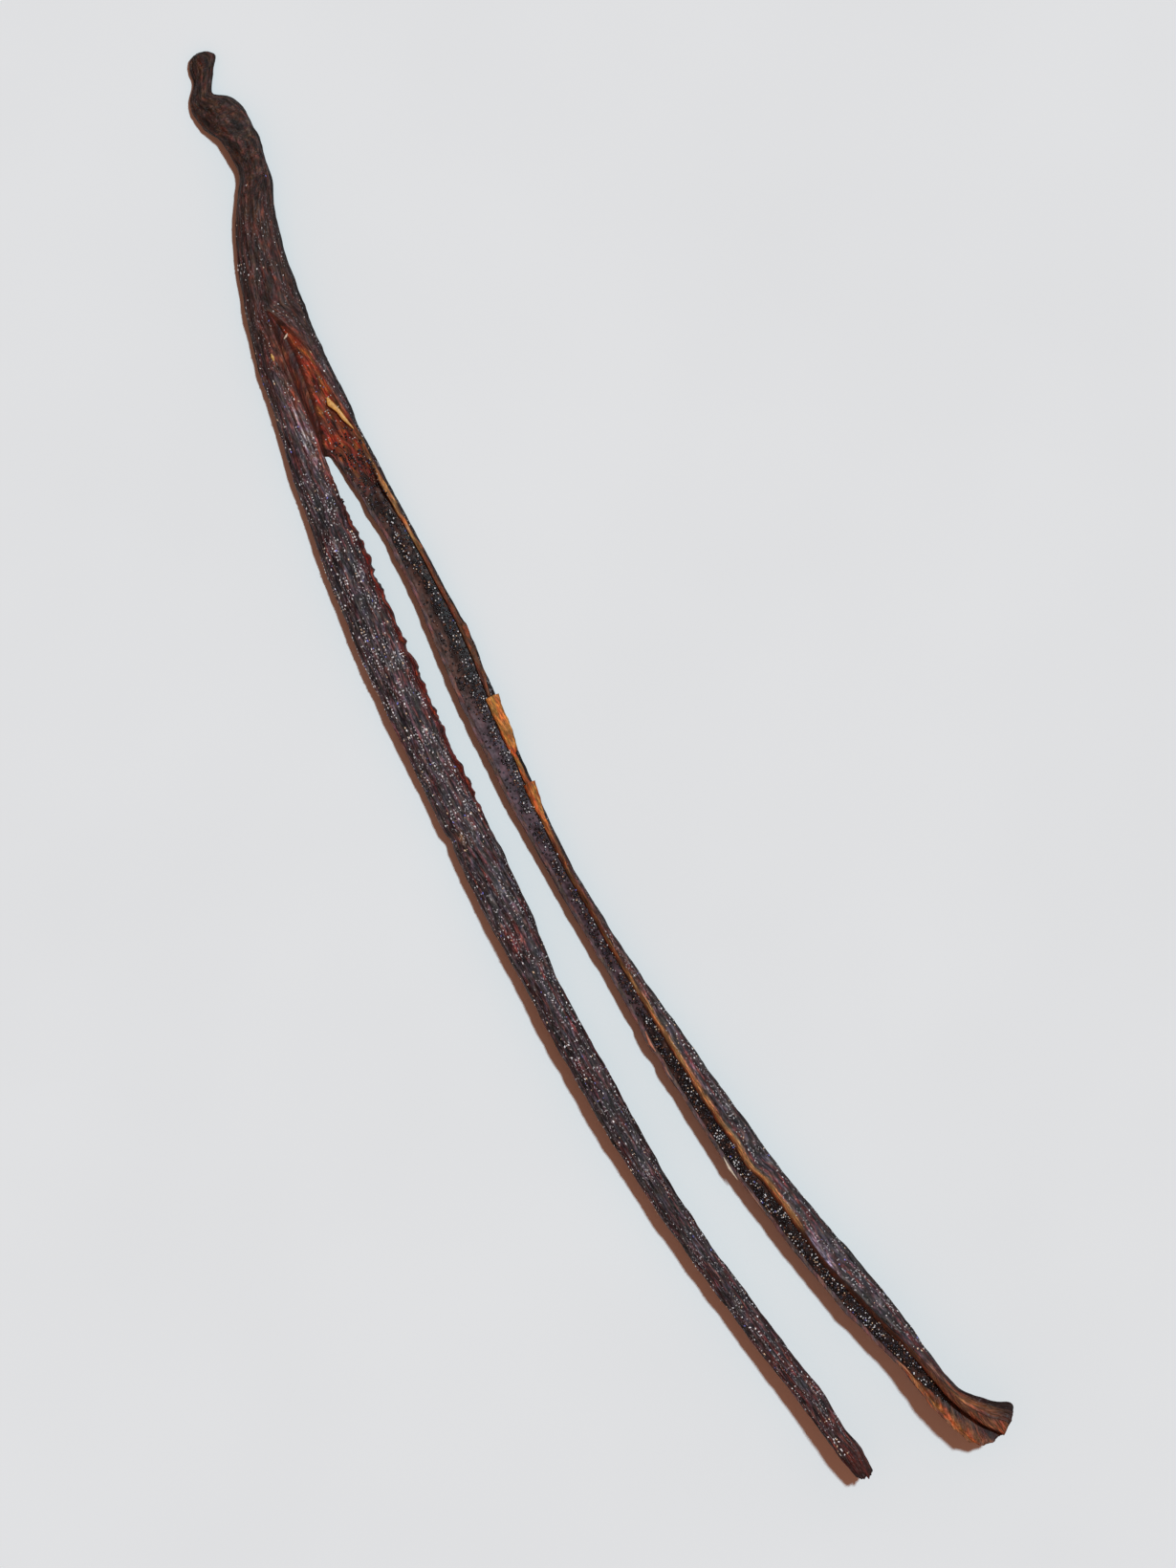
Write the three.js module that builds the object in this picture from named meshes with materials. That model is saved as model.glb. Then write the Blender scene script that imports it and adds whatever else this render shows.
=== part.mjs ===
// A cured vanilla pod, slit lengthwise. The two halves stay joined at the
// stem end: one lies skin up, the other lies cut face up.
// Millimetres, +Z up. +X runs from the stem end to the two tips,
// +Y points towards the half that lies cut face up.
import * as THREE from 'three';

// ---------------------------------------------------------------- sizes
const ORIGIN_X = 83.17;        // middle of the pod's length, from the stem tip
const ORIGIN_Y = -3.17;        // middle of its breadth, from the stem tip
const SLIT_START = 27.0;       // where the slit begins on the head
const CROTCH = 42.9;           // where the halves part for good
const POD_END = 166.0;         // nominal end of both halves
const SKIN_HALF_END = 163.4;   // end of the half that lies skin up
const OPEN_HALF_END = 165.2;   // end of the half that lies cut face up
const TIP_ZONE = 150.0;        // beyond this the two halves keep own ends
const AROUND = 14;             // steps from lip to lip, outside and inside
const HEAD_MIDDLE = 0.38;      // where the head is broadest, share of its height
const WALL_SIDE = 0.62;        // thickness of skin and flesh at the first lip
const WALL_LAST = 0.42;        // and at the last lip
const WALL_BASE = 0.55;        // and mid-shell, as a share of its half height
const END_BULGE = 1.35;        // how far the torn fan end bows out
const FLANGE = 0.75;           // how far the torn edge of the skin half flares out
const PULP_GAP = 0.24;         // room between flesh and seed pulp
const PULP_STEPS = 9;          // steps over the pulp's rounded side
const RIDGE_HEIGHT = 0.055;    // lengthwise ridges, as a share of the radius
const SEED_BUMP = 0.09;        // relief of the seeds on the pulp

// [x, upper edge, lower edge, height, lift]; edges seen from above
const HEAD = [
  [0.0, 0.75, -1.15, 1.40, 0.1],
  [0.7, 1.30, -1.60, 1.50, 0.1],
  [2.1, 0.40, -1.85, 1.45, 0.1],
  [4.1, -0.72, -3.25, 1.80, 0.05],
  [5.3, 0.70, -3.40, 2.30, 0],
  [7.0, 1.38, -3.30, 2.60, 0],
  [9.4, 1.52, -2.25, 2.80, 0.15],
  [12.6, 0.98, -2.15, 2.90, 0.15],
  [15.0, 0.55, -3.45, 2.90, 0.05],
  [18.0, -0.72, -5.25, 2.90, 0],
  [23.0, -1.90, -7.35, 2.95, 0],
  [28.0, -2.60, -8.95, 3.00, 0],
  [36.0, -3.15, -10.60, 3.05, 0],
  [43.0, -3.50, -12.00, 3.05, 0],
];

// [x, upper edge, lower edge, half height of the shell, height of its
//  middle, lift]
const SKIN_HALF = [
  [28.0, -2.60, -8.95, 1.86, 1.14, 0],
  [33.0, -3.70, -10.05, 1.86, 1.14, 0],
  [39.0, -6.10, -11.10, 1.86, 1.16, 0],
  [43.0, -7.50, -11.95, 1.90, 1.18, 0],
  [48.0, -8.25, -12.70, 2.00, 1.28, 0],
  [55.0, -8.95, -13.70, 2.10, 1.42, 0],
  [64.0, -9.60, -14.50, 2.15, 1.50, 0],
  [78.0, -10.65, -15.10, 2.10, 1.58, 0],
  [86.0, -10.80, -15.35, 2.00, 1.60, 0.2],
  [94.0, -11.20, -15.55, 1.95, 1.55, 0.5],
  [104.0, -12.00, -15.45, 1.75, 1.40, 1.05],
  [118.0, -11.85, -15.00, 1.60, 1.30, 1.6],
  [130.0, -11.30, -14.00, 1.42, 1.15, 1.7],
  [140.0, -10.00, -12.55, 1.30, 1.05, 1.85],
  [149.0, -8.60, -11.10, 1.20, 1.00, 2.3],
  [154.0, -7.60, -10.20, 1.15, 0.95, 2.5],
  [158.0, -7.40, -9.65, 1.05, 0.90, 2.9],
  [161.0, -6.70, -9.25, 1.00, 0.85, 3.0],
  [164.1, -6.85, -8.45, 0.90, 0.85, 2.9],
];
const OPEN_HALF = [
  [28.0, -2.60, -8.95, 1.86, 1.14, 0],
  [33.0, -3.05, -9.20, 1.86, 1.14, 0],
  [39.0, -3.25, -7.95, 1.80, 1.10, 0],
  [43.0, -3.50, -7.55, 1.70, 1.05, 0],
  [47.0, -3.55, -6.95, 1.55, 1.05, 0],
  [56.0, -3.35, -6.35, 1.40, 1.20, 0],
  [66.0, -3.35, -6.95, 1.50, 1.40, 0],
  [74.0, -3.90, -7.65, 1.60, 1.55, 0],
  [84.0, -4.80, -7.85, 1.55, 1.52, 0.05],
  [92.0, -5.15, -7.60, 1.45, 1.45, 0.3],
  [103.0, -4.50, -7.15, 1.45, 1.42, 0.4],
  [112.0, -3.40, -6.70, 1.50, 1.42, 0.65],
  [124.0, -1.70, -5.85, 1.55, 1.45, 1.2],
  [134.0, -0.10, -4.40, 1.55, 1.45, 1.5],
  [144.0, 2.20, -2.45, 1.50, 1.42, 1.85],
  [151.0, 3.50, -0.60, 1.42, 1.38, 2.2],
  [156.0, 4.15, 0.95, 1.30, 1.28, 2.75],
  [160.0, 5.15, 1.65, 1.20, 1.18, 3.3],
  [163.0, 7.35, 2.45, 1.10, 1.10, 3.6],
  [164.6, 9.20, 3.05, 1.00, 1.02, 3.7],
  [166.6, 9.40, 3.80, 0.90, 0.95, 3.8],
];

// [x, first lip, last lip]: angles of the two cut lips round each shell,
// in degrees from the +Y side, counted over the top
const SKIN_LIPS = [
  [27.0, 106, 270], [33.0, 92, 270], [39.0, 64, 278], [43.0, 40, 290],
  [46.0, 34, 266], [50.0, 32, 246], [56.0, 30, 234], [72.0, 28, 230],
  [84.0, 10, 230], [96.0, -36, 226], [130.0, -40, 220], [164.1, -30, 212],
];
const OPEN_LIPS = [
  [27.0, 106, -90], [29.0, 80, -90], [33.0, 58, -92], [39.0, 54, -108],
  [43.0, 30, -152], [46.0, 28, -172], [50.0, 28, -186], [58.0, 24, -190],
  [66.0, 14, -190], [82.0, 14, -190], [90.0, 30, -190], [97.0, 52, -190],
  [105.0, 69, -189], [116.0, 84, -187], [150.0, 88, -187], [158.0, 62, -186],
  [166.0, 56, -186],
];

// torn flaps and notches along the upper edge of the open half:
// [start, end, rise at the start, rise at the end]
const OPEN_FLAPS = [
  [65.2, 66.8, 0.22, 0.06], [71.5, 73.3, -0.05, -0.55],
  [73.4, 79.6, 0.40, 0.12], [79.8, 83.2, -0.22, -0.15],
  [83.3, 87.4, 0.38, -0.12],
];
// ragged teeth on its lower edge: [start, end, reach]
const OPEN_TEETH = [[111.0, 114.8, 0.3], [115.6, 118.2, 0.12], [146.5, 149.0, 0.1]];
const SKIN_CREASE = 85.0;      // crosswise crease of the half lying skin up

// ---------------------------------------------------------------- helpers
const rad = Math.PI / 180;
const clamp = (v, a, b) => Math.min(b, Math.max(a, v));
const mix = (a, b, t) => a + (b - a) * t;
const smooth = (a, b, v) => {
  const t = clamp((v - a) / (b - a), 0, 1);
  return t * t * (3 - 2 * t);
};

// monotone cubic through the rows of a table, by column
function curve(rows, column) {
  const n = rows.length;
  const x = rows.map((r) => r[0]);
  const y = rows.map((r) => r[column]);
  const d = [];
  for (let i = 0; i < n - 1; i++) d.push((y[i + 1] - y[i]) / (x[i + 1] - x[i]));
  const m = y.map((_, i) => {
    if (i === 0) return d[0];
    if (i === n - 1) return d[n - 2];
    return d[i - 1] * d[i] <= 0 ? 0 : (2 * d[i - 1] * d[i]) / (d[i - 1] + d[i]);
  });
  return (v) => {
    const q = clamp(v, x[0], x[n - 1]);
    let i = 0;
    while (i < n - 2 && q > x[i + 1]) i++;
    const h = x[i + 1] - x[i];
    const t = (q - x[i]) / h;
    const a = (1 + 2 * t) * (1 - t) * (1 - t);
    const b = t * (1 - t) * (1 - t);
    return a * y[i] + b * h * m[i] + (1 - a) * y[i + 1] - t * t * (1 - t) * h * m[i + 1];
  };
}

// smooth repeatable waver along the length
const waver = (x, seed) =>
  0.5 * Math.sin(0.37 * x + 2.1 * seed) + 0.3 * Math.sin(0.83 * x + 4.7 * seed)
  + 0.2 * Math.sin(1.71 * x + 1.3 * seed);

// ---------------------------------------------------------------- halves
function makeHalf(name) {
  const open = name === 'open';
  const rows = open ? OPEN_HALF : SKIN_HALF;
  const lips = open ? OPEN_LIPS : SKIN_LIPS;
  const headUp = curve(HEAD, 1), headLow = curve(HEAD, 2);
  const headHigh = curve(HEAD, 3), headLift = curve(HEAD, 4);
  const rowUp = curve(rows, 1), rowLow = curve(rows, 2);
  const rowB = curve(rows, 3), rowMid = curve(rows, 4), rowLift = curve(rows, 5);
  const firstLip = curve(lips, 1), lastLip = curve(lips, 2);
  const own = (x) => smooth(26, 30, x);

  const flap = (x) => {
    if (!open) return 0;
    for (const [a, b, ra, rb] of OPEN_FLAPS) if (x >= a && x <= b) return mix(ra, rb, (x - a) / (b - a));
    return 0;
  };
  const upper = (x) => mix(headUp(x), rowUp(x), own(x))
    + (open ? 0 : 0.12 * waver(2.6 * x, 3) * smooth(44, 50, x) * (1 - smooth(78, 86, x)));
  const tooth = (x) => OPEN_TEETH.reduce((sum, [a, b, r]) =>
    sum + (x > a && x < b ? r * Math.sin(Math.PI * (x - a) / (b - a)) : 0), 0);
  const lower = (x) => mix(headLow(x), rowLow(x), own(x))
    + (open ? 0 : 0.35 * Math.exp(-(((x - SKIN_CREASE) / 1.3) ** 2)));
  const middle = (x) => (mix(headUp(x), rowUp(x), own(x)) + mix(headLow(x), rowLow(x), own(x))) / 2;

  function frame(t) {
    const end = open ? OPEN_HALF_END : SKIN_HALF_END;
    const x = t <= TIP_ZONE ? t : mix(TIP_ZONE, end, (t - TIP_ZONE) / (POD_END - TIP_ZONE));
    const slope = (middle(x + 3.5) - middle(x - 3.5)) / 7;
    const tilt = clamp(Math.atan(slope), -0.5, 0.2) * smooth(13, 21, x);
    const y = middle(x);
    const reach = (edge) => {
      let h = (edge(x) - y) / Math.cos(tilt);
      for (let k = 0; k < 5; k++) h = (edge(x - Math.sin(tilt) * h) - y) / Math.cos(tilt);
      return h;
    };
    const hi = reach(upper), lo = reach(lower);
    const b = mix(headHigh(x) * (1 - HEAD_MIDDLE), rowB(x), own(x));
    const mid = mix(headHigh(x) * HEAD_MIDDLE, rowMid(x), own(x));
    return {
      x, y, tilt, u: (hi + lo) / 2, a: (hi - lo) / 2,
      b, mid, low: mix(mid - 0.02, b, smooth(CROTCH, 52, x)),
      lift: mix(headLift(x), rowLift(x), own(x)),
      p: firstLip(x), q: lastLip(x),
      hollow: smooth(43, 53, x),
      bow: open ? END_BULGE * smooth(TIP_ZONE + 9, POD_END, t) : 0.35 * smooth(TIP_ZONE + 10, POD_END, t),
    };
  }

  const place = (f, u, v) => {
    const side = (u - f.u) / f.a;
    const along = f.bow * (1 - 1.3 * side * side);
    return [
      f.x - Math.sin(f.tilt) * u + along,
      f.y + Math.cos(f.tilt) * u,
      f.lift + Math.max(v, 0),
    ];
  };

  // lengthwise ridges of the dried skin
  const ridge = (x, angle) => {
    const g = angle * rad;
    return 1 + RIDGE_HEIGHT * (0.6 * Math.cos(6 * g + 1.6 * waver(0.25 * x, 1) + (open ? 1 : 0))
      + 0.4 * Math.cos(11 * g + 2.2 * waver(0.3 * x, 2)));
  };

  function section(t) {
    const f = frame(t);
    const shell = (angle, side, base, bump) => {
      const g = angle * rad;
      const height = Math.sin(g) > 0 ? f.b : f.low;
      return [
        f.u + (f.a - side) * Math.cos(g) * bump,
        f.mid + height * (1 - base) * Math.sin(g) * bump,
      ];
    };
    const outer = [];
    for (let k = 0; k <= AROUND; k++) {
      const angle = mix(f.p, f.q, k / AROUND);
      const edge = k === 0 || k === AROUND;
      outer.push(shell(angle, 0, 0, edge ? 1 : ridge(f.x, angle)));
    }
    const tear = flap(f.x), jut = open ? tooth(f.x) : 0;
    for (let k = 0; k < 3; k++) {
      outer[k][0] += tear * (1 - k / 3);
      outer[AROUND - k][0] -= jut * (1 - k / 3);
    }
    const first = outer[0], last = outer[AROUND];
    const flange = open ? 0 : FLANGE * smooth(42, 46, f.x) * (1 - smooth(80, 92, f.x));
    const inner = [];
    for (let j = 0; j <= AROUND; j++) {
      const s = j / AROUND;
      const flat = [mix(first[0], last[0], s), mix(first[1], last[1], s)];
      let bent;
      if (j === 0) bent = first;
      else if (j === AROUND) bent = last;
      else {
        const turn = (j - 1) / (AROUND - 2);
        bent = shell(mix(f.p, f.q, turn), mix(WALL_SIDE, WALL_LAST, turn), WALL_BASE, 1);
        const fade = Math.max(0, 1 - (j - 1) / 3);
        bent = [bent[0] + flange * 1.15 * fade, bent[1] - flange * 0.5 * fade];
        if (j === 1) bent[0] += 0.5 * Math.min(tear, 0);
      }
      const base = j > 0 && j < AROUND ? 0.22 * smooth(41, 43.5, f.x) : -1;
      inner.push([mix(flat[0], bent[0], f.hollow), Math.max(mix(flat[1], bent[1], f.hollow), base)]);
    }
    return {
      outer: outer.map((p) => place(f, p[0], p[1])),
      inner: inner.map((p) => place(f, p[0], p[1])),
    };
  }

  // closed outline of the seed pulp lying in the shell
  function pulp(t, swell) {
    const f = frame(t);
    const turn = Math.sign(f.q - f.p);
    const b = (f.b * (1 - WALL_BASE) - PULP_GAP) * swell;
    const from = f.p + turn * (open ? 8 : 24);
    const to = f.q - turn * (open ? 8 : 16);
    const ring = [];
    for (let k = 0; k <= PULP_STEPS; k++) {
      const g = mix(from, to, k / PULP_STEPS) * rad;
      const a = (f.a - mix(WALL_SIDE, WALL_LAST, k / PULP_STEPS) - PULP_GAP) * swell;
      ring.push([f.u + a * Math.cos(g), f.mid + b * Math.sin(g)]);
    }
    const A = ring[PULP_STEPS], B = ring[0];
    const span = Math.hypot(B[0] - A[0], B[1] - A[1]);
    const nx = -(B[1] - A[1]) / span, ny = (B[0] - A[0]) / span;
    const side = open ? 1 : -1;
    for (let k = 1; k < 5; k++) {
      const s = k / 5;
      const sag = ((open ? 0.08 : -0.16) + SEED_BUMP * waver(5.3 * f.x + 9 * k, k)) * swell;
      ring.push([
        mix(A[0], B[0], s) + side * nx * sag,
        mix(A[1], B[1], s) + side * ny * sag,
      ]);
    }
    return ring.map((p) => place(f, p[0], Math.max(p[1], 0.42)));
  }
  return { section, pulp };
}

// ---------------------------------------------------------------- meshes
function toMesh(name, color, points, faces) {
  const used = new Map();
  const position = [];
  const index = [];
  for (const face of faces) {
    for (const id of face) {
      if (!used.has(id)) {
        used.set(id, used.size);
        const p = points[id];
        position.push(p[0] - ORIGIN_X, p[1] - ORIGIN_Y, p[2]);
      }
      index.push(used.get(id));
    }
  }
  const geometry = new THREE.BufferGeometry();
  geometry.setAttribute('position', new THREE.Float32BufferAttribute(position, 3));
  geometry.setIndex(index);
  geometry.computeVertexNormals();
  const mesh = new THREE.Mesh(geometry, new THREE.MeshStandardMaterial({ color, roughness: 0.5 }));
  mesh.name = name;
  return mesh;
}

// stations along the pod, closer together at the hook, the slit and the tips
function stationList() {
  const runs = [[0, 5.3, 6], [5.3, 15, 8], [15, SLIT_START, 6], [SLIT_START, CROTCH, 13],
    [CROTCH, 54, 9], [54, 72.2, 9], [72.2, 73.2, 1], [73.2, 73.5, 1], [73.5, 79.7, 4],
    [79.7, 83.1, 2], [83.1, 83.5, 1], [83.5, 89, 4], [89, 140, 22], [140, POD_END, 14]];
  const list = [0];
  for (const [a, b, n] of runs) for (let k = 1; k <= n; k++) list.push(mix(a, b, k / n));
  return list;
}

function buildHusk(halves) {
  const stations = stationList();
  const count = stations.length;
  const n = AROUND;
  const points = [];
  const faces = [];
  const add = (p) => points.push(p) - 1;
  const sections = halves.map((h) => stations.map((t) => h.section(t)));
  const front = (j) => mix(SLIT_START, CROTCH, Math.pow(j / (n - 1), 0.8)) - 1e-6;
  const gapeAt = (x, j) => {
    const reached = (n - 1) * Math.pow(clamp((x - SLIT_START) / (CROTCH - SLIT_START), 0, 1), 1.25);
    return mix(Math.pow(clamp((reached + 0.4 - j) / (reached + 0.4), 0, 1), 0.55), 1,
      smooth(CROTCH - 0.5, CROTCH + 0.8, x));
  };
  const isOpen = (i, j) => stations[i] >= front(j);
  const inner = [[], []];
  const outer = [[], []];
  for (let i = 0; i < count; i++) {
    inner[0].push([]);
    inner[1].push([]);
    for (let j = 0; j <= n; j++) {
      let split = true;
      for (const ci of [i - 1, i]) {
        for (const cj of [j - 1, j]) {
          if (ci < 0 || cj < 0 || ci > count - 2 || cj > n - 1) continue;
          if (!isOpen(ci, cj)) split = false;
        }
      }
      const a = sections[0][i].inner[j], b = sections[1][i].inner[j];
      const both = a.map((v, c) => (v + b[c]) / 2);
      if (split) {
        const gape = gapeAt(stations[i], j);
        inner[0][i].push(add(both.map((v, c) => mix(v, a[c], gape))));
        inner[1][i].push(add(both.map((v, c) => mix(v, b[c], gape))));
      } else {
        const id = add(both);
        inner[0][i].push(id);
        inner[1][i].push(id);
      }
    }
    for (const h of [0, 1]) {
      const row = [inner[h][i][0]];
      for (let k = 1; k < n; k++) row.push(add(sections[h][i].outer[k]));
      row.push(inner[h][i][n]);
      outer[h].push(row);
    }
  }
  const quad = (a, b, c, d, flip) => {
    if (flip) faces.push([a, c, b], [a, d, c]);
    else faces.push([a, b, c], [a, c, d]);
  };
  for (const h of [0, 1]) {
    for (let i = 0; i < count - 1; i++) {
      for (let k = 0; k < n; k++) {
        quad(outer[h][i][k], outer[h][i + 1][k], outer[h][i + 1][k + 1], outer[h][i][k + 1], h === 0);
        if (isOpen(i, k)) {
          quad(inner[h][i + 1][k], inner[h][i + 1][k + 1], inner[h][i][k + 1], inner[h][i][k], h === 1);
        }
      }
    }
    // torn end of each half
    const o = outer[h][count - 1], w = inner[h][count - 1];
    for (let k = 0; k < n; k++) {
      if (k > 0) faces.push(h === 1 ? [o[k], w[k], w[k + 1]] : [o[k], w[k + 1], w[k]]);
      if (k < n - 1) faces.push(h === 1 ? [o[k], w[k + 1], o[k + 1]] : [o[k], o[k + 1], w[k + 1]]);
    }
  }
  // broken stem face, slightly domed
  const rim = [...outer[0][0], ...outer[1][0].slice(1, n).reverse()];
  const c = [0, 1, 2].map((q) => rim.reduce((s, id) => s + points[id][q], 0) / rim.length);
  const hub = add([c[0] - 0.25, c[1], c[2]]);
  for (let k = 0; k < rim.length; k++) faces.push([hub, rim[k], rim[(k + 1) % rim.length]].reverse());
  return toMesh('husk', 0x2a1c16, points, faces);
}

function buildPulp(name, half, from, to, steps) {
  const points = [];
  const faces = [];
  const rings = [];
  for (let i = 0; i <= steps; i++) {
    const t = mix(from, to, i / steps);
    const swell = Math.sqrt(clamp(Math.min(i + 0.6, steps - i + 0.6) / 3, 0, 1));
    rings.push(half.pulp(t, swell).map((p) => points.push(p) - 1));
  }
  const m = rings[0].length;
  for (let i = 0; i < steps; i++) {
    for (let k = 0; k < m; k++) {
      const a = rings[i][k], b = rings[i + 1][k];
      const c = rings[i + 1][(k + 1) % m], d = rings[i][(k + 1) % m];
      faces.push([a, b, c], [a, c, d]);
    }
  }
  for (const [ring, flip] of [[rings[0], false], [rings[steps], true]]) {
    const c = [0, 1, 2].map((q) => ring.reduce((s, id) => s + points[id][q], 0) / m);
    const hub = points.push(c) - 1;
    for (let k = 0; k < m; k++) {
      const tri = [hub, ring[k], ring[(k + 1) % m]];
      faces.push(flip ? tri.reverse() : tri);
    }
  }
  let volume = 0;
  for (const [a, b, c] of faces) {
    const [p, q, r] = [points[a], points[b], points[c]];
    volume += p[0] * (q[1] * r[2] - q[2] * r[1]) + p[1] * (q[2] * r[0] - q[0] * r[2])
      + p[2] * (q[0] * r[1] - q[1] * r[0]);
  }
  return toMesh(name, 0x0e0b0c, points, volume < 0 ? faces.map((f) => [...f].reverse()) : faces);
}

// ---------------------------------------------------------------- the pod
const skinHalf = makeHalf('skin');
const openHalf = makeHalf('open');
const group = new THREE.Group();
group.name = 'vanilla_pod';
group.add(buildHusk([skinHalf, openHalf]));
group.add(buildPulp('seed_pulp_open_half', openHalf, 54, 161, 54));
group.add(buildPulp('seed_pulp_skin_half', skinHalf, 58, 156, 36));
export default group;
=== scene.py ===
import bpy
import numpy as np
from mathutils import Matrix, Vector
from numpy import arange, array, clip, concatenate, cos, pi, radians, sin, stack, where


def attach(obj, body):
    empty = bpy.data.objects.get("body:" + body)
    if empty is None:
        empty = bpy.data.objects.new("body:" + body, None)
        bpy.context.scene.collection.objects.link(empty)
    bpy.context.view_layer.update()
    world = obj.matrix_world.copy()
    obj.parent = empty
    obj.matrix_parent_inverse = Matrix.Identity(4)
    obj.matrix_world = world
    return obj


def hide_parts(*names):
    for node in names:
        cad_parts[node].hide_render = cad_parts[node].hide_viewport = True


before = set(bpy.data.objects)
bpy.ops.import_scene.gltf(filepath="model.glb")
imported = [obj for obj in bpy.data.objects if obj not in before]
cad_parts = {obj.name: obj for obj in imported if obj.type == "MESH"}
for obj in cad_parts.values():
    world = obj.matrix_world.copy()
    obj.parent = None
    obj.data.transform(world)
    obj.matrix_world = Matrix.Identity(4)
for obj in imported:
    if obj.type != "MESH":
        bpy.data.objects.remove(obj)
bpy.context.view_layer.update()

# ------ sizes
# Millimetres from the stem tip, as in the part's source.
ORIGIN_X = 83.17
ORIGIN_Y = -3.17
MM = 0.001
SLIT_START = 27.0
CROTCH = 42.9
POD_END = 166.0
SKIN_HALF_END = 163.4
OPEN_HALF_END = 165.2
TIP_ZONE = 150.0
WALL_SIDE = 0.62
WALL_LAST = 0.42
WALL_BASE = 0.55
FLANGE = 0.75
OPEN_END_BULGE = 1.35
SKIN_END_BULGE = 0.35
HEAD_MIDDLE = 0.38
RIDGE_HEIGHT = 0.055
LIP_BEVEL = 18.0
SKIN_CREASE = 85.0
SKIN_BREADTH = 7.8  # of a half's skin from lip to lip
TORN_BREADTH = 7.0  # the same, for the torn edges
TOOTH_REACH = 0.35
PULP_OVERLAP = 0.10

# fineness of the visible surfaces
OUTER_STEPS = 72
INNER_STEPS = 36
LIP_STEPS = 5
PULP_STEPS = 14
PULP_GAP = 0.4
STEM_RINGS = 8
SEED_RADIUS = 0.15
SEED_FORM = SEED_RADIUS * array([[1.0, 0.86, 0.8]])

# [x, upper edge, lower edge, height, lift]
HEAD = [
    [0, 0.75, -1.15, 1.4, 0.1], [0.7, 1.3, -1.6, 1.5, 0.1], [2.1, 0.4, -1.85, 1.45, 0.1],
    [4.1, -0.72, -3.25, 1.8, 0.05], [5.3, 0.7, -3.4, 2.3, 0], [7, 1.38, -3.3, 2.6, 0],
    [9.4, 1.52, -2.25, 2.8, 0.15], [12.6, 0.98, -2.15, 2.9, 0.15], [15, 0.55, -3.45, 2.9, 0.05],
    [18, -0.72, -5.25, 2.9, 0], [23, -1.9, -7.35, 2.95, 0], [28, -2.6, -8.95, 3, 0],
    [36, -3.15, -10.6, 3.05, 0], [43, -3.5, -12, 3.05, 0],
]
# [x, upper edge, lower edge, half height of the shell, its middle, lift]
SKIN_HALF = [
    [28, -2.6, -8.95, 1.86, 1.14, 0], [33, -3.7, -10.05, 1.86, 1.14, 0],
    [39, -6.1, -11.1, 1.86, 1.16, 0], [43, -7.5, -11.95, 1.9, 1.18, 0], [48, -8.25, -12.7, 2, 1.28, 0],
    [55, -8.95, -13.7, 2.1, 1.42, 0], [64, -9.6, -14.5, 2.15, 1.5, 0],
    [78, -10.65, -15.1, 2.1, 1.58, 0], [86, -10.8, -15.35, 2, 1.6, 0.2],
    [94, -11.2, -15.55, 1.95, 1.55, 0.5], [104, -12, -15.45, 1.75, 1.4, 1.05],
    [118, -11.85, -15, 1.6, 1.3, 1.6], [130, -11.3, -14, 1.42, 1.15, 1.7],
    [140, -10, -12.55, 1.3, 1.05, 1.85], [149, -8.6, -11.1, 1.2, 1, 2.3],
    [154, -7.6, -10.2, 1.15, 0.95, 2.5], [158, -7.4, -9.65, 1.05, 0.9, 2.9],
    [161, -6.7, -9.25, 1, 0.85, 3], [164.1, -6.85, -8.45, 0.9, 0.85, 2.9],
]
OPEN_HALF = [
    [28, -2.6, -8.95, 1.86, 1.14, 0], [33, -3.05, -9.2, 1.86, 1.14, 0], [39, -3.25, -7.95, 1.8, 1.1, 0],
    [43, -3.5, -7.55, 1.7, 1.05, 0], [47, -3.55, -6.95, 1.55, 1.05, 0], [56, -3.35, -6.35, 1.4, 1.2, 0],
    [66, -3.35, -6.95, 1.5, 1.4, 0], [74, -3.9, -7.65, 1.6, 1.55, 0],
    [84, -4.8, -7.85, 1.55, 1.52, 0.05], [92, -5.15, -7.6, 1.45, 1.45, 0.3],
    [103, -4.5, -7.15, 1.45, 1.42, 0.4], [112, -3.4, -6.7, 1.5, 1.42, 0.65],
    [124, -1.7, -5.85, 1.55, 1.45, 1.2], [134, -0.1, -4.4, 1.55, 1.45, 1.5],
    [144, 2.2, -2.45, 1.5, 1.42, 1.85], [151, 3.5, -0.6, 1.42, 1.38, 2.2],
    [156, 4.15, 0.95, 1.3, 1.28, 2.75], [160, 5.15, 1.65, 1.2, 1.18, 3.3],
    [163, 7.35, 2.45, 1.1, 1.1, 3.6], [164.6, 9.2, 3.05, 1, 1.02, 3.7],
    [166.6, 9.4, 3.8, 0.9, 0.95, 3.8],
]
# [x, first lip, last lip] in degrees round each shell
SKIN_LIPS = [
    [27, 106, 270], [33, 92, 270], [39, 64, 278], [43, 40, 290], [46, 34, 266], [50, 32, 246],
    [56, 30, 234], [72, 28, 230], [84, 10, 230], [96, -36, 226], [130, -40, 220], [164.1, -30, 212],
]
OPEN_LIPS = [
    [27, 106, -90], [29, 80, -90], [33, 58, -92], [39, 54, -108], [43, 30, -152], [46, 28, -172],
    [50, 28, -186], [58, 24, -190], [66, 14, -190], [82, 14, -190], [90, 30, -190], [97, 52, -190],
    [105, 69, -189], [116, 84, -187], [124, 90, -187], [126.4, 88, -187], [129.4, 97, -187],
    [131.6, 83, -187], [137, 89, -187], [142.6, 101, -187], [147.6, 90, -187], [150, 88, -187],
    [158, 62, -186], [166, 56, -186],
]
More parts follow.
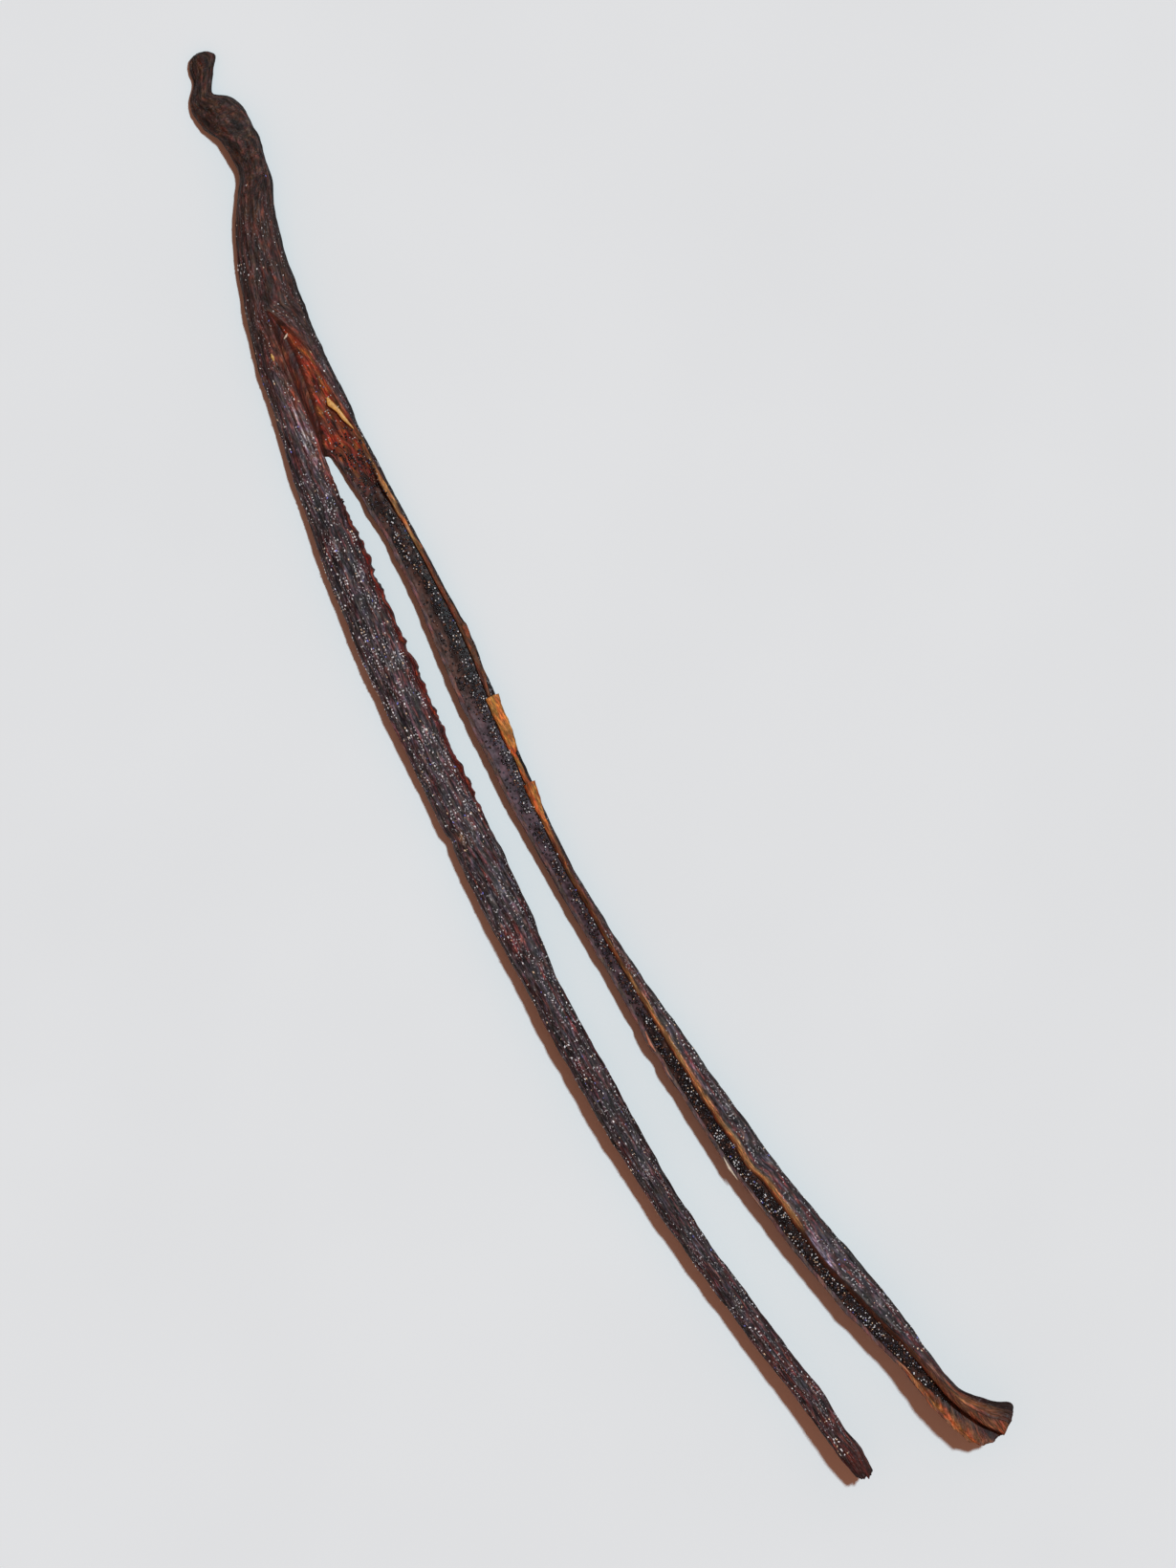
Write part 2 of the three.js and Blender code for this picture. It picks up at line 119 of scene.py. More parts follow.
# [start, end, how far out at the start, at the end] of the torn flaps
OPEN_FLAPS = [
    [65.2, 66.8, 0.22, 0.06], [71.5, 73.3, -0.05, -0.55], [73.4, 79.6, 0.4, 0.12],
    [79.8, 83.2, -0.22, -0.15], [83.3, 87.4, 0.38, -0.12],
]
# [start, end, how far out] of the ragged teeth
OPEN_TEETH = [
    [111, 114.8, 0.3], [115.6, 118.2, 0.12], [146.5, 149, 0.1],
]
# [x, strength, middle, width] of the pale line on the first lip's cut face
LIP_GLOW = [
    [40, 0.1, 0.4, 0.3], [46, 0.25, 0.4, 0.35], [48, 0.85, 0.45, 0.38], [52, 0.8, 0.45, 0.34],
    [58, 0.2, 0.4, 0.25], [62, 0.06, 0.3, 0.22], [73.3, 0.06, 0.3, 0.22], [73.5, 0, 0.3, 0.3],
    [88, 0.2, 0.3, 0.3], [92, 0.15, 0.3, 0.35], [100, 0.2, 0.4, 0.4], [108, 0.8, 0.2, 0.36],
    [124, 1, 0.12, 0.4], [136, 1, 0.12, 0.36], [138.5, 0, 0.2, 0.3], [166, 0, 0.2, 0.3],
]


# ------ helpers
def srgb(r, g, b):
    """Linear colour from 0 to 255 values."""
    v = array([r, g, b]) / 255
    return where(v <= 0.04045, v / 12.92, ((v + 0.055) / 1.055) ** 2.4)


def mix(a, b, t):
    return a + (b - a) * t


def smooth(a, b, v):
    t = clip((v - a) / (b - a), 0, 1)
    return t * t * (3 - 2 * t)


def curve(rows, column):
    """Monotone cubic through one column of a table."""
    x, y = array(rows, float)[:, [0, column]].T
    d = np.diff(y) / np.diff(x)
    both, total = d[:-1] * d[1:], d[:-1] + d[1:]
    total[total == 0] = 1
    m = concatenate([d[:1], where(both <= 0, 0, 2 * both / total), d[-1:]])

    def at(v):
        q = clip(v, x[0], x[-1])
        i = clip(np.searchsorted(x, q, side="right") - 1, 0, len(x) - 2)
        h = x[i + 1] - x[i]
        t = (q - x[i]) / h
        a = (1 + 2 * t) * (1 - t) ** 2
        b = t * (1 - t) ** 2
        rise = b * h * m[i] - t * t * (1 - t) * h * m[i + 1]
        return a * y[i] + (1 - a) * y[i + 1] + rise

    return at


def waver(x, seed):
    return (
        0.5 * sin(0.37 * x + 2.1 * seed)
        + 0.3 * sin(0.83 * x + 4.7 * seed)
        + 0.2 * sin(1.71 * x + 1.3 * seed)
    )


def lattice_angle(ix, iy, seed):
    h = ix.astype(np.int64) * 374761393 + iy.astype(np.int64) * 668265263 + seed * 974711
    h = h & 0xFFFFFFFF
    h = ((h ^ (h >> 13)) * 1274126177) & 0xFFFFFFFF
    h = ((h ^ (h >> 16)) * 2246822519) & 0xFFFFFFFF
    return (h >> 8) / float(1 << 24) * 2 * pi


def noise(x, y, seed):
    """Gradient noise in two dimensions, about -1 to 1."""
    x, y = np.broadcast_arrays(np.asarray(x, float), np.asarray(y, float))
    ix, iy = np.floor(x), np.floor(y)
    fx, fy = x - ix, y - iy
    u, v = (f**3 * (f * (f * 6 - 15) + 10) for f in (fx, fy))

    def corner(cx, cy):
        g = lattice_angle(ix + cx, iy + cy, seed)
        return cos(g) * (fx - cx) + sin(g) * (fy - cy)

    return 1.5 * mix(mix(corner(0, 0), corner(1, 0), u), mix(corner(0, 1), corner(1, 1), u), v)


def furrows(x, y, seed):
    """Rounded ridges with narrow furrows between, 0 in a furrow to 1."""
    return np.minimum(1.0, 1.9 * np.abs(noise(x, y, seed)))


def window(x, a, b, c, d):
    """Rises from 0 to 1 over a to b and falls again over c to d."""
    return smooth(a, b, x) * (1 - smooth(c, d, x))


def bell(distance, width):
    return np.exp(-((distance / width) ** 2))


def unit(vectors):
    return vectors / (np.linalg.norm(vectors, axis=1)[:, None] + 1e-9)


def shares(rows, steps):
    """A grid that counts from 0 to 1 across every row."""
    return np.tile(np.linspace(0, 1, steps + 1), (len(rows), 1))


def wrinkle(x, s):
    """Height of the dried skin over its mean, in millimetres."""
    s = s + 0.30 * noise(x / 12, s / 2.6, 5) + 0.08 * noise(x / 2.6, s / 1.0, 6)
    broad = furrows(x / 10, s / 0.95, 11) - 0.55
    fine = furrows(x / 3.6, s / 0.42, 12) - 0.55
    thread = noise(x / 1.5, s / 0.22, 13)
    lump = noise(x / 3.4, s / 1.5, 14)
    pit = noise(x / 0.9, s / 0.5, 15)
    past_hook = smooth(9, 20, x)
    height = mix(0.3, 1.0, past_hook) * (0.11 * broad + 0.075 * fine + 0.03 * thread)
    return height + mix(2.6, 1.0, past_hook) * (0.05 * lump + 0.036 * pit)


def flap(x):
    """How far the torn flaps stand out from the open half's first lip."""
    total = np.zeros_like(x)
    for a, b, ra, rb in OPEN_FLAPS:
        total = where((x >= a) & (x <= b), mix(ra, rb, (x - a) / (b - a)), total)
    return total


def tooth(x):
    """How far the ragged teeth stand out from the open half's last lip."""
    total = np.zeros_like(x)
    for a, b, r in OPEN_TEETH:
        total = total + where((x > a) & (x < b), r * sin(pi * (x - a) / (b - a)), 0)
    return total


def lip_extra(x):
    """How much broader than the wall the open half's cut face lies."""
    wide = 0.42 * window(x, 73.35, 73.5, 77.5, 80.5) + 0.25 * window(x, 83.2, 83.4, 85, 88)
    return wide - 0.22 * window(x, 47, 53, 60, 72) - 0.18 * smooth(90, 100, x)


# ------ halves
class Half:
    """One half of the pod as rows of points, in millimetres."""

    def __init__(self, is_open):
        self.open = is_open
        self.sign = -1.0 if is_open else 1.0
        self.end = OPEN_HALF_END if is_open else SKIN_HALF_END
        self.bulge = (OPEN_END_BULGE, TIP_ZONE + 9) if is_open else (SKIN_END_BULGE, TIP_ZONE + 10)
        self.head = [curve(HEAD, c) for c in range(1, 5)]
        self.rows = [curve(OPEN_HALF if is_open else SKIN_HALF, c) for c in range(1, 6)]
        self.lips = [curve(OPEN_LIPS if is_open else SKIN_LIPS, c) for c in (1, 2)]
        self.pulp_run = (44.0, 161.5, 8.0) if is_open else (55.0, 159.0, 5.0)
        self.seed = 20 if is_open else 60

    def own(self, x):
        """How much of its own form the half has, against the head's."""
        return smooth(26, 30, x)

    def edge(self, k, x):
        return mix(self.head[k](x), self.rows[k](x), self.own(x))

    def upper(self, x):
        edge = self.edge(0, x)
        if not self.open:
            edge = edge + 0.12 * waver(2.6 * x, 3) * window(x, 44, 50, 78, 86)
        return edge + 0.07 * noise(x / 2.3, 0.5, self.seed + 1)

    def lower(self, x):
        edge = self.edge(1, x)
        if not self.open:
            edge = edge + 0.35 * bell(x - SKIN_CREASE, 0.8)
        return edge + 0.07 * noise(x / 2.3, 0.5, self.seed + 2)

    def middle(self, x):
        return (self.edge(0, x) + self.edge(1, x)) / 2

    def frame(self, t):
        """Place, tilt and sizes of the cross-section at each station."""
        x = where(t <= TIP_ZONE, t, mix(TIP_ZONE, self.end, (t - TIP_ZONE) / (POD_END - TIP_ZONE)))
        slope = (self.middle(x + 3.5) - self.middle(x - 3.5)) / 7
        tilt = clip(np.arctan(slope), -0.5, 0.2) * smooth(13, 21, x)
        y = self.middle(x)
        reach = []
        for edge in (self.upper, self.lower):
            h = (edge(x) - y) / cos(tilt)
            for _ in range(5):
                h = (edge(x - sin(tilt) * h) - y) / cos(tilt)
            reach.append(h)
        hi, lo = reach
        own = self.own(x)
        b = mix(self.head[2](x) * (1 - HEAD_MIDDLE), self.rows[2](x), own)
        mid = mix(self.head[2](x) * HEAD_MIDDLE, self.rows[3](x), own)
        bulge, bulge_start = self.bulge
        return {
            "t": t, "x": x, "y": y, "tilt": tilt, "u": (hi + lo) / 2, "a": (hi - lo) / 2,
            "b": b, "mid": mid, "low": mix(mid - 0.02, b, smooth(CROTCH, 52, x)),
            "lift": mix(self.head[3](x), self.rows[4](x), own),
            "p": self.lips[0](x), "q": self.lips[1](x),
            "hollow": smooth(43, 53, x), "bow": bulge * smooth(bulge_start, POD_END, t),
        }

    def place(self, f, u, v):
        """Points of a cross-section set into the row frame, in millimetres."""
        col = {k: w[:, None] for k, w in f.items()}
        side = (u - col["u"]) / col["a"]
        torn = 0.32 * noise(side * 3.1, 7.3, self.seed + 5)
        torn = torn + 0.16 * noise(side * 9.0, 2.1, self.seed + 6)
        torn = torn + 0.16 * noise(side * 21.0, 4.2, self.seed + 12)
        ragged = torn * smooth(POD_END - 3.5, POD_END, col["t"])
        return stack([
            col["x"] - sin(col["tilt"]) * u + col["bow"] * (1 - 1.3 * side * side) + ragged,
            col["y"] + cos(col["tilt"]) * u,
            col["lift"] + np.maximum(v, 0),
        ], -1)

    def section(self, t):
        """Skin and cut face at each station, as grids of points with what paints them."""
        f = self.frame(t)
        x, p, q, a, b, mid, low, mu = (
            f[k][:, None] for k in ("x", "p", "q", "a", "b", "mid", "low", "u")
        )

        # skin
        share = shares(t, OUTER_STEPS)
        angle = radians(mix(p, q, share))
        waves = 1 + RIDGE_HEIGHT * 0.5 * (
            0.6 * cos(6 * angle + 1.6 * waver(0.25 * x, 1) + (1 if self.open else 0))
            + 0.4 * cos(11 * angle + 2.2 * waver(0.3 * x, 2))
        )
        high = where(sin(angle) > 0, b, low)
        nu, nv = cos(angle) / a, sin(angle) / high
        s = self.sign * share * SKIN_BREADTH
        bottom = smooth(0.0, 0.06, 1 - share) + (1 - smooth(CROTCH - 2, CROTCH + 2, x))
        near_last = where(x < CROTCH, smooth(0.0, 0.08, 1 - share), 1.0)
        d = wrinkle(x, s) * clip(bottom, 0, 1) * near_last
        size = np.hypot(nu, nv)
        u = mu + a * cos(angle) * waves + d * nu / size
        v = mid + high * sin(angle) * waves + d * nv / size

        # torn edges
        arc = share * TORN_BREADTH
        near_first, near_end = bell(arc, TOOTH_REACH), bell(TORN_BREADTH - arc, TOOTH_REACH)
        cut = smooth(CROTCH - 1, CROTCH + 2, x)
        if self.open:
            rough = 0.06 * noise(x / 1.3, 1.5, 31) + 0.05 * noise(x / 0.55, 2.5, 32)
            u = u + (flap(x) + cut * rough) * clip(1 - arc / 0.55, 0, 1)
            ragged = 0.08 * noise(x / 1.5, 3.5, 33) + 0.05 * noise(x / 0.6, 4.5, 34)
            u = u - (tooth(x) + cut * ragged) * near_end
        else:
            teeth = 0.4 - np.abs(noise(x / 1.6, 1.5, 41)) * 1.6 + 0.8 * noise(x / 0.45, 2.5, 42)
            torn = 0.10 * window(x, 43, 47, 80, 90) * teeth
            u = u + (torn + 0.05 * cut * noise(x / 0.6, 5.5, 43)) * near_first
            u = u + 0.05 * cut * noise(x / 1.2, 6.5, 44) * near_end

        # cut face, trough and second cut face
        first, last = (stack([u[:, k], v[:, k]], -1)[:, None, :] for k in (0, -1))
        j = shares(t, INNER_STEPS)
        flat = mix(first, last, j[..., None])
        edge = LIP_STEPS / INNER_STEPS
        turn = clip((j - edge) / (1 - 2 * edge), 0, 1)
        fade = clip(1 - turn * 4.0, 0, 1)
        side = mix(WALL_SIDE, WALL_LAST, turn)
        bevel = flange = 0.0
        if self.open:
            bevel = LIP_BEVEL * smooth(43, 50, x)
            side = side + lip_extra(x) * fade
        else:
            jag = 0.2 + 0.8 * noise(x / 1.9, 8.5, 45) + 0.9 * noise(x / 0.42, 9.5, 46)
            jag = jag + 1.5 * np.maximum(noise(x / 0.8, 3.5, 47) - 0.25, 0)
            flange = (FLANGE + 0.17 * jag) * window(x, 42, 46, 80, 90) * fade
        ang = radians(mix(p + bevel, q, turn))
        deep = where(sin(ang) > 0, b, low) * (1 - WALL_BASE)
        rough = 0.05 * noise(x / 1.6, turn * 6, self.seed + 7)
        rough = rough + 0.03 * noise(x / 0.6, turn * 12, self.seed + 8)
        trough = stack([
            mu + (a - side + rough) * cos(ang) + 1.15 * flange,
            mid + (deep + rough) * sin(ang) - 0.5 * flange,
        ], -1)
        lip1, lip2 = (clip(k / edge, 0, 1)[..., None] for k in (j, 1 - j))
        swell = 0.06 * sin(pi * lip1)
        face1 = mix(first, trough[:, :1, :], lip1) + concatenate([0 * swell, swell], -1)
        face2 = mix(last, trough[:, -1:, :], lip2)
        bent = where(j[..., None] < edge, face1, where(j[..., None] > 1 - edge, face2, trough))
        inner = mix(flat, bent, f["hollow"][:, None, None])
        base = where((j > 0) & (j < 1), 0.22 * smooth(41, 43.5, x), -1)
        return {
            "outer": self.place(f, u, v), "x": x + 0 * share, "t": t[:, None] + 0 * share,
            "share": share, "s": s, "d": d, "angle": angle, "j": j,
            "inner": self.place(f, inner[..., 0], np.maximum(inner[..., 1], base)),
        }

    def pulp(self, t):
        """Rings round the pulp, its seedy top and the top's normals."""
        f = self.frame(t)
        p, q, x = f["p"], f["q"], f["x"][:, None]
        lip = 4.0 if self.open else 12.0
        start, stop, taper = self.pulp_run
        fill = clip(np.minimum(t - start, stop - t) / taper, 0, 1) ** 0.5
        lip = mix(0.5 * np.abs(q - p) - 5.0, lip, fill)
        turn = shares(t, PULP_STEPS)
        ang = radians(mix((p + self.sign * lip)[:, None], (q - self.sign * lip)[:, None], turn))
        a = f["a"][:, None] - mix(WALL_SIDE, WALL_LAST, turn) + PULP_OVERLAP
        b = f["b"] * (1 - WALL_BASE) + PULP_OVERLAP
        u = f["u"][:, None] + a * cos(ang)
        v = f["mid"][:, None] + b[:, None] * sin(ang)
        top = turn[:, 1:-1]
        cu, cv = (mix(w[:, -1:], w[:, :1], top) for w in (u, v))
        du, dv = u[:, :1] - u[:, -1:], v[:, :1] - v[:, -1:]
        size = np.hypot(du, dv)
        nu, nv = self.sign * dv / size, -self.sign * du / size
        bump = 0.06 * noise(x / 0.8, top * 5, self.seed + 9)
        bump = bump + 0.06 * noise(x / 2.4, top * 2, self.seed + 10)
        rise = -0.10
        if self.open:
            start = 1 - smooth(44, 54, x + 4 * noise(x / 1.2, top * 4, 48))
            low_side = (1 - smooth(106, 113, x)) * smooth(0.55, 0.2, top)
            rise = 0.10 - 0.45 * start - 0.10 * low_side
        sag = (rise + bump) * sin(pi * top)
        ring_u = concatenate([u, cu + nu * sag], 1)
        ring_v = np.maximum(concatenate([v, cv + nv * sag], 1), 0.30)
        points = self.place(f, ring_u, ring_v)
        tilt = f["tilt"][:, None]
        normal = stack([-sin(tilt) * nu, cos(tilt) * nu, nv], -1)
        return points, points[:, PULP_STEPS + 1:, :], normal


SKIN = Half(False)
OPEN = Half(True)


# ------ meshes
def add_object(name, data):
    obj = bpy.data.objects.new(name, data)
    bpy.context.collection.objects.link(obj)
    return obj


# attribute kinds: colours, texture places and the share of painted glint specks
VALUE_KINDS = {
    "paint": ("FLOAT_COLOR", "color"), "grain": ("FLOAT_VECTOR", "vector"), "skin": ("FLOAT", "value"),
}


def make_object(name, points, faces, **values):
    """A mesh object from arrays: points in millimetres, faces by size, and values per point."""
    points = (np.reshape(points, (-1, 3)) - (ORIGIN_X, ORIGIN_Y, 0)) * MM
    used = np.unique(concatenate([np.ravel(group) for group in faces]))
    rank = np.zeros(len(points), int)
    rank[used] = arange(len(used))
    mesh = bpy.data.meshes.new(name)
    mesh.from_pydata(points[used], [], [face for group in faces for face in rank[group].tolist()])
    mesh.shade_smooth()
    mesh.validate()
    for key, data in values.items():
        kind, field = VALUE_KINDS[key]
        data = np.asarray(data, float)[used]
        if kind == "FLOAT_COLOR":
            data = concatenate([data, np.ones((len(data), 1))], 1)
        mesh.attributes.new(key, kind, "POINT").data.foreach_set(field, data.ravel())
    return add_object(name, mesh)


# ------ husk colours
# FURROW and RIDGE are the dark and light ends of the painted relief shade; FURROW is also used as a plain
# dark brown
FURROW = srgb(26, 18, 18)
RIDGE = srgb(90, 79, 82)
RIDGE_RED = srgb(108, 50, 46)
HEAD_RIDGE = srgb(76, 50, 42)
STEM_GREY = srgb(44, 35, 29)
STEM_BREAK = srgb(46, 38, 32)
HOOK_BROWN = srgb(80, 46, 28)
SHEEN = srgb(216, 208, 214)
# painted edge shade for the outline
RIM_SHADE = srgb(24, 15, 14)
FLESH = srgb(122, 62, 42)
FLESH_DARK = srgb(52, 30, 27)
FLESH_ORANGE = srgb(156, 88, 46)
FLESH_RED = srgb(140, 50, 34)
LIP_TAN = srgb(222, 160, 98)
LIP_BROWN = srgb(112, 66, 42)
# painted highlight on the open half's lip
PAINTED_LIP_GLINT = srgb(196, 186, 206)
LOWER_LIP = srgb(86, 63, 59)
FLAP_TAN = srgb(176, 114, 52)
FLAP_BURNT = srgb(150, 72, 28)
RED_EDGE = srgb(88, 20, 13)
RED_DARK = srgb(40, 13, 12)
RED_FLUSH = srgb(108, 50, 38)
RED_SPOT = srgb(150, 62, 36)
TROUGH = srgb(48, 34, 30)
MIDDLE_BROWN = srgb(104, 62, 50)
FAN_BROWN = srgb(138, 82, 50)
FAN_SKIN = srgb(84, 50, 36)
FAN_INSIDE = srgb(58, 44, 41)
FAN_PALE = srgb(90, 60, 48)
TIP_BROWN = srgb(58, 29, 23)
TIP_RUST = srgb(92, 42, 34)
TORN_END = srgb(40, 20, 16)
CREASE_TAN = srgb(150, 104, 72)
BERRY_RED = srgb(128, 66, 58)
# colour of the painted glint specks in the skin shader
PAINTED_GLINT = srgb(212, 206, 208)


def blend_in(base, color, weight):
    return base + (color - base) * clip(weight, 0, 1)[..., None]


def layered(base, layers):
    """Colours laid one over the other, each with its weight."""
    for color, weight in layers:
        base = blend_in(base, color, weight)
    return base


def patch(x, s, long, broad, seed, low, high):
    return smooth(low, high, noise(x / long, s / broad, seed))


def skin_paint(half, data):
    """Colour of the skin, with painted light and shade on its relief, at its outline and in a few
    highlights.
    """
    x, s, arc, top = data["x"], data["s"], data["share"] * SKIN_BREADTH, data["outer"][..., 1]
    # painted light and shade on the relief: tone rises on the wrinkles' ridges and falls in their furrows,
    # with random tone on top
    tone = 0.42 + 2.6 * data["d"] + 0.22 * noise(x / 2.2, s / 0.4, 70)

    # lit() scales a colour by that painted relief light
    def lit(color, least=0.25):
        return color * (least + tone[..., None])

    def spots(*form):
        return patch(x, s, *form)

    # the base runs from the dark furrow colour to the lit ridge colour by the painted tone
    base = layered(FURROW, [
        (RIDGE, tone),
        (lit(RIDGE_RED), mix(0.7, 0.35, window(x, 48, 56, 82, 90)) * spots(5, 0.32, 71, 0.1, 0.45)),
        (lit(HEAD_RIDGE), 0.9 * (1 - smooth(24, 46, x))),
        (STEM_GREY, 0.5 * (1 - smooth(11, 17, x))),
    ])
    ends = 1 - smooth(12, 20, x) + smooth(154, 160, x)
    mottle = noise(x / 1.3, s / 0.9, 94) + 0.6 * noise(x / 0.6, s / 0.4, 97)
    base = base * np.maximum(1 + 1.1 * ends * mottle, 0.3)[..., None]
    brown = 0.6 * (1 - smooth(13, 18, x)) * spots(2.6, 1.4, 74, 0.0, 0.5)
    brown = brown + 0.8 * bell(x - 17.5, 2.2) * bell(top + 3.0, 0.6) * spots(1.5, 0.4, 76, -0.3, 0.4)
    shine = bell(x - 40.0, 2.9) * bell(top + 8.8, 0.75) * spots(5, 0.17, 77, 0.05, 0.25)
    base = layered(base, [(HOOK_BROWN, brown), (SHEEN, 0.6 * shine)])
    # painted edge shade: the skin darkened where it turns sideways towards +y at the outline
    rim = smooth(0.84, 0.98, cos(data["angle"]))
    if half.open:
        fold = bell(arc, mix(0.55, 1.0, smooth(157, 162, x))) * smooth(152.5, 157, x)
        # painted highlight: a pale violet glint streak along the lip at x 138 to 143
        lip_glint = bell(arc, 0.32) * window(x, 138, 139, 142, 143) * spots(0.8, 0.3, 73, -0.5, 0.0)
        base = layered(base, [
            (lit(MIDDLE_BROWN, 0.35), 0.85 * window(x, 82.5, 85, 106, 112) * bell(arc, 1.1)),
            (LIP_TAN, 0.9 * bell(arc, 0.17) * window(x, 104, 112, 136, 139)),
            (PAINTED_LIP_GLINT, 0.9 * lip_glint),
            (lit(FAN_SKIN, 0.3), 0.85 * smooth(155, 162, x)),
            (FAN_BROWN, fold * spots(4, 0.5, 78, -0.35, 0.3)),
        ])
    else:
        base = base * (1 + 0.12 * window(x, 57, 62, 84, 90) - 0.12 * smooth(101, 107, x))[..., None]
        rim = rim * (1 - window(x, 42, 44, 84, 88))
        torn = window(x, 43, 46, 82, 92)
        jag = 0.55 + 0.35 * noise(x / 1.7, 3.3, 75)
        base = layered(base, [
            (mix(RED_EDGE, RED_DARK, 0.5), 0.85 * torn * bell(arc, jag)),
            (RED_FLUSH, 0.6 * torn * bell(arc, 1.4) * spots(2.2, 0.4, 79, 0.0, 0.5)),
            (FURROW, 0.4 * torn * bell(arc, 1.6) * (1 - smooth(56, 62, x))),
            (RED_DARK, 0.7 * smooth(84, 92, x) * bell(arc, 0.45)),
            (TIP_BROWN, 0.85 * smooth(157, 161, x)),
            (TIP_RUST, 0.6 * smooth(140, 150, x) * spots(3.0, 0.5, 91, -0.2, 0.3)),
            (CREASE_TAN, 0.8 * bell(x - 85.1, 0.5) * bell(top + 14.0, 0.35)),
            (BERRY_RED, 0.7 * bell(x - 97, 1.6) * bell(top + 13.4, 0.25)),
        ])
    flush = window(x, 26.5, 31, 43, 48) * bell(arc, 0.5 if half.open else 1.0)
    return layered(base, [
        (FLESH, 0.85 * flush * mix(0.4, 1.0, spots(1.6, 0.4, 80, -0.2, 0.4))),
        # painted edge shade along the outline, reddish on the skin half
        (RIM_SHADE if half.open else mix(RIM_SHADE, RED_DARK, 0.8), 0.9 * rim),
        (TORN_END, 0.7 * smooth(POD_END - 1.6, POD_END, data["t"])),
    ])


def flesh_paint(half, data):
    """Colour of the flesh in the slit, the cut lips and the trough."""
    j, x = data["j"], data["x"][:, :INNER_STEPS + 1]
    top = data["inner"][..., 1] + 0.8 * data["inner"][..., 2]
    pale = layered(FLESH, [
        (FLESH_DARK, patch(x, top, 2.2, 0.7, 81, -0.1, 0.4)),
        (FLESH_ORANGE, patch(x, top, 1.8, 0.6, 82, 0.05, 0.5) * smooth(27, 33, x)),
        (FLESH_RED, 0.8 * patch(x, top, 1.6, 0.5, 84, -0.1, 0.4)),
        (FURROW, 0.8 * patch(x, top, 1.6, 0.6, 86, 0.0, 0.5) * smooth(37, 45, x)),
        (FLESH_DARK, 0.0 if half.open else 0.75),
    ])
    base = blend_in(TROUGH, pale, 1 - smooth(43.5, 50, x))
    edge = LIP_STEPS / INNER_STEPS
    first = j / edge
    lip1 = (1 - smooth(0.8, 1.3, first)) * smooth(41, 45, x)
    lip2 = smooth(1 - edge * 1.3, 1 - edge * 0.8, j) * smooth(41, 45, x)

    def spots(*form):
        return patch(x, first, *form)

    if not half.open:
        return layered(base, [
            (RED_DARK, lip1),
            (RED_EDGE, lip1 * spots(1.5, 0.7, 90, -0.3, 0.3)),
            (RED_SPOT, 0.7 * lip1 * spots(0.9, 0.6, 89, 0.0, 0.45)),
            (FLESH_DARK, lip2),
        ])
    quiet = mix(1.0, 0.15, window(x, 137, 139, 150, 154))
    power, middle, width = (curve(LIP_GLOW, c)(x) for c in (1, 2, 3))
    glow = power * bell(first - middle - 0.22 * noise(x / 1.3, 4.5, 93), width)
    flaps = window(x, 73.35, 73.45, 79.6, 84) + window(x, 83.25, 83.35, 86, 90)
    flaps = flaps * (1 - smooth(0.9, 1.25, first))
    fan = smooth(152, 158, x)
    streak = patch(x, j * 8, 5, 0.8, 85, -0.3, 0.35)
    far_side = smooth(153, 157, x) * smooth(0.60, 0.76, j)
    return layered(base, [
        (LIP_BROWN * 0.4, lip1),
        (LIP_BROWN, 0.6 * lip1 * quiet * spots(1.6, 0.5, 87, -0.4, 0.3)),
        (LIP_TAN, glow * mix(0.55, 1.0, spots(2.4, 2.0, 83, -0.3, 0.3))),
        (FLAP_TAN, flaps),
        (FLAP_BURNT, flaps * smooth(76.5, 80, x) * spots(1.2, 0.5, 88, -0.4, 0.3)),
        (LOWER_LIP, 0.9 * lip2),
        (FAN_INSIDE, fan),
        (FAN_PALE, fan * smooth(160, 163, x) * patch(x, top, 1.6, 0.7, 92, -0.2, 0.4)),
        # painted shadow: a dark line in the deepest part of the fan's trough
        (FURROW, fan * bell(j - 0.27, 0.06)),
        (FAN_BROWN, fan * bell(j - 0.08, 0.10) * mix(0.5, 1.0, streak)),
        (FLESH_ORANGE * 0.9, far_side * mix(0.35, 1.0, streak)),
    ])


# ------ the husk
# [start, end, gap] of the cross-sections, close where a flap starts
STATION_RUNS = (
    (0, 15, 0.27), (15, 26, 0.4), (26, 48, 0.28), (48, 73.3, 0.33), (73.3, 73.5, 0.04),
    (73.5, 83.2, 0.33), (83.2, 83.4, 0.05), (83.4, 160, 0.44), (160, POD_END, 0.18),
)


def station_list():
    parts = [array([0.0])]
    for a, b, gap in STATION_RUNS:
        count = max(1, int(round((b - a) / gap)))
        parts.append(a + (b - a) * arange(1, count + 1) / count)
    return concatenate(parts)


def slit_front(x):
    """How deep the slit cuts into the pod, from 0 at its start to 1 at the crotch."""
    return clip((x - SLIT_START) / (CROTCH - SLIT_START), 0, 1) ** 1.25


def glint_share(half, x):
    """How many painted glint specks the skin carries, 0 to 1."""
    share = 0.12 + 0.3 * smooth(13, 22, x) + 0.58 * smooth(36, 46, x)
    end = 154 if half.open else 158
    return share * mix(1.0, 0.15, smooth(end, end + 4, x))


def skin_grain(x, s):
    """Texture position on the skin: lengthwise grain, blotchy on the hook."""
    along = x + 1.7 * np.minimum(x - 16, 0)
    return stack([along, s * mix(0.5, 1.0, smooth(11, 18, x)), 0 * x], -1)


def flesh_grain(half, inner, x):
    across, up = inner[..., 1], inner[..., 2]
    return stack([1.3 * x, half.sign * 20 + 1.2 * across + up, 2.0 * up + 4], -1)


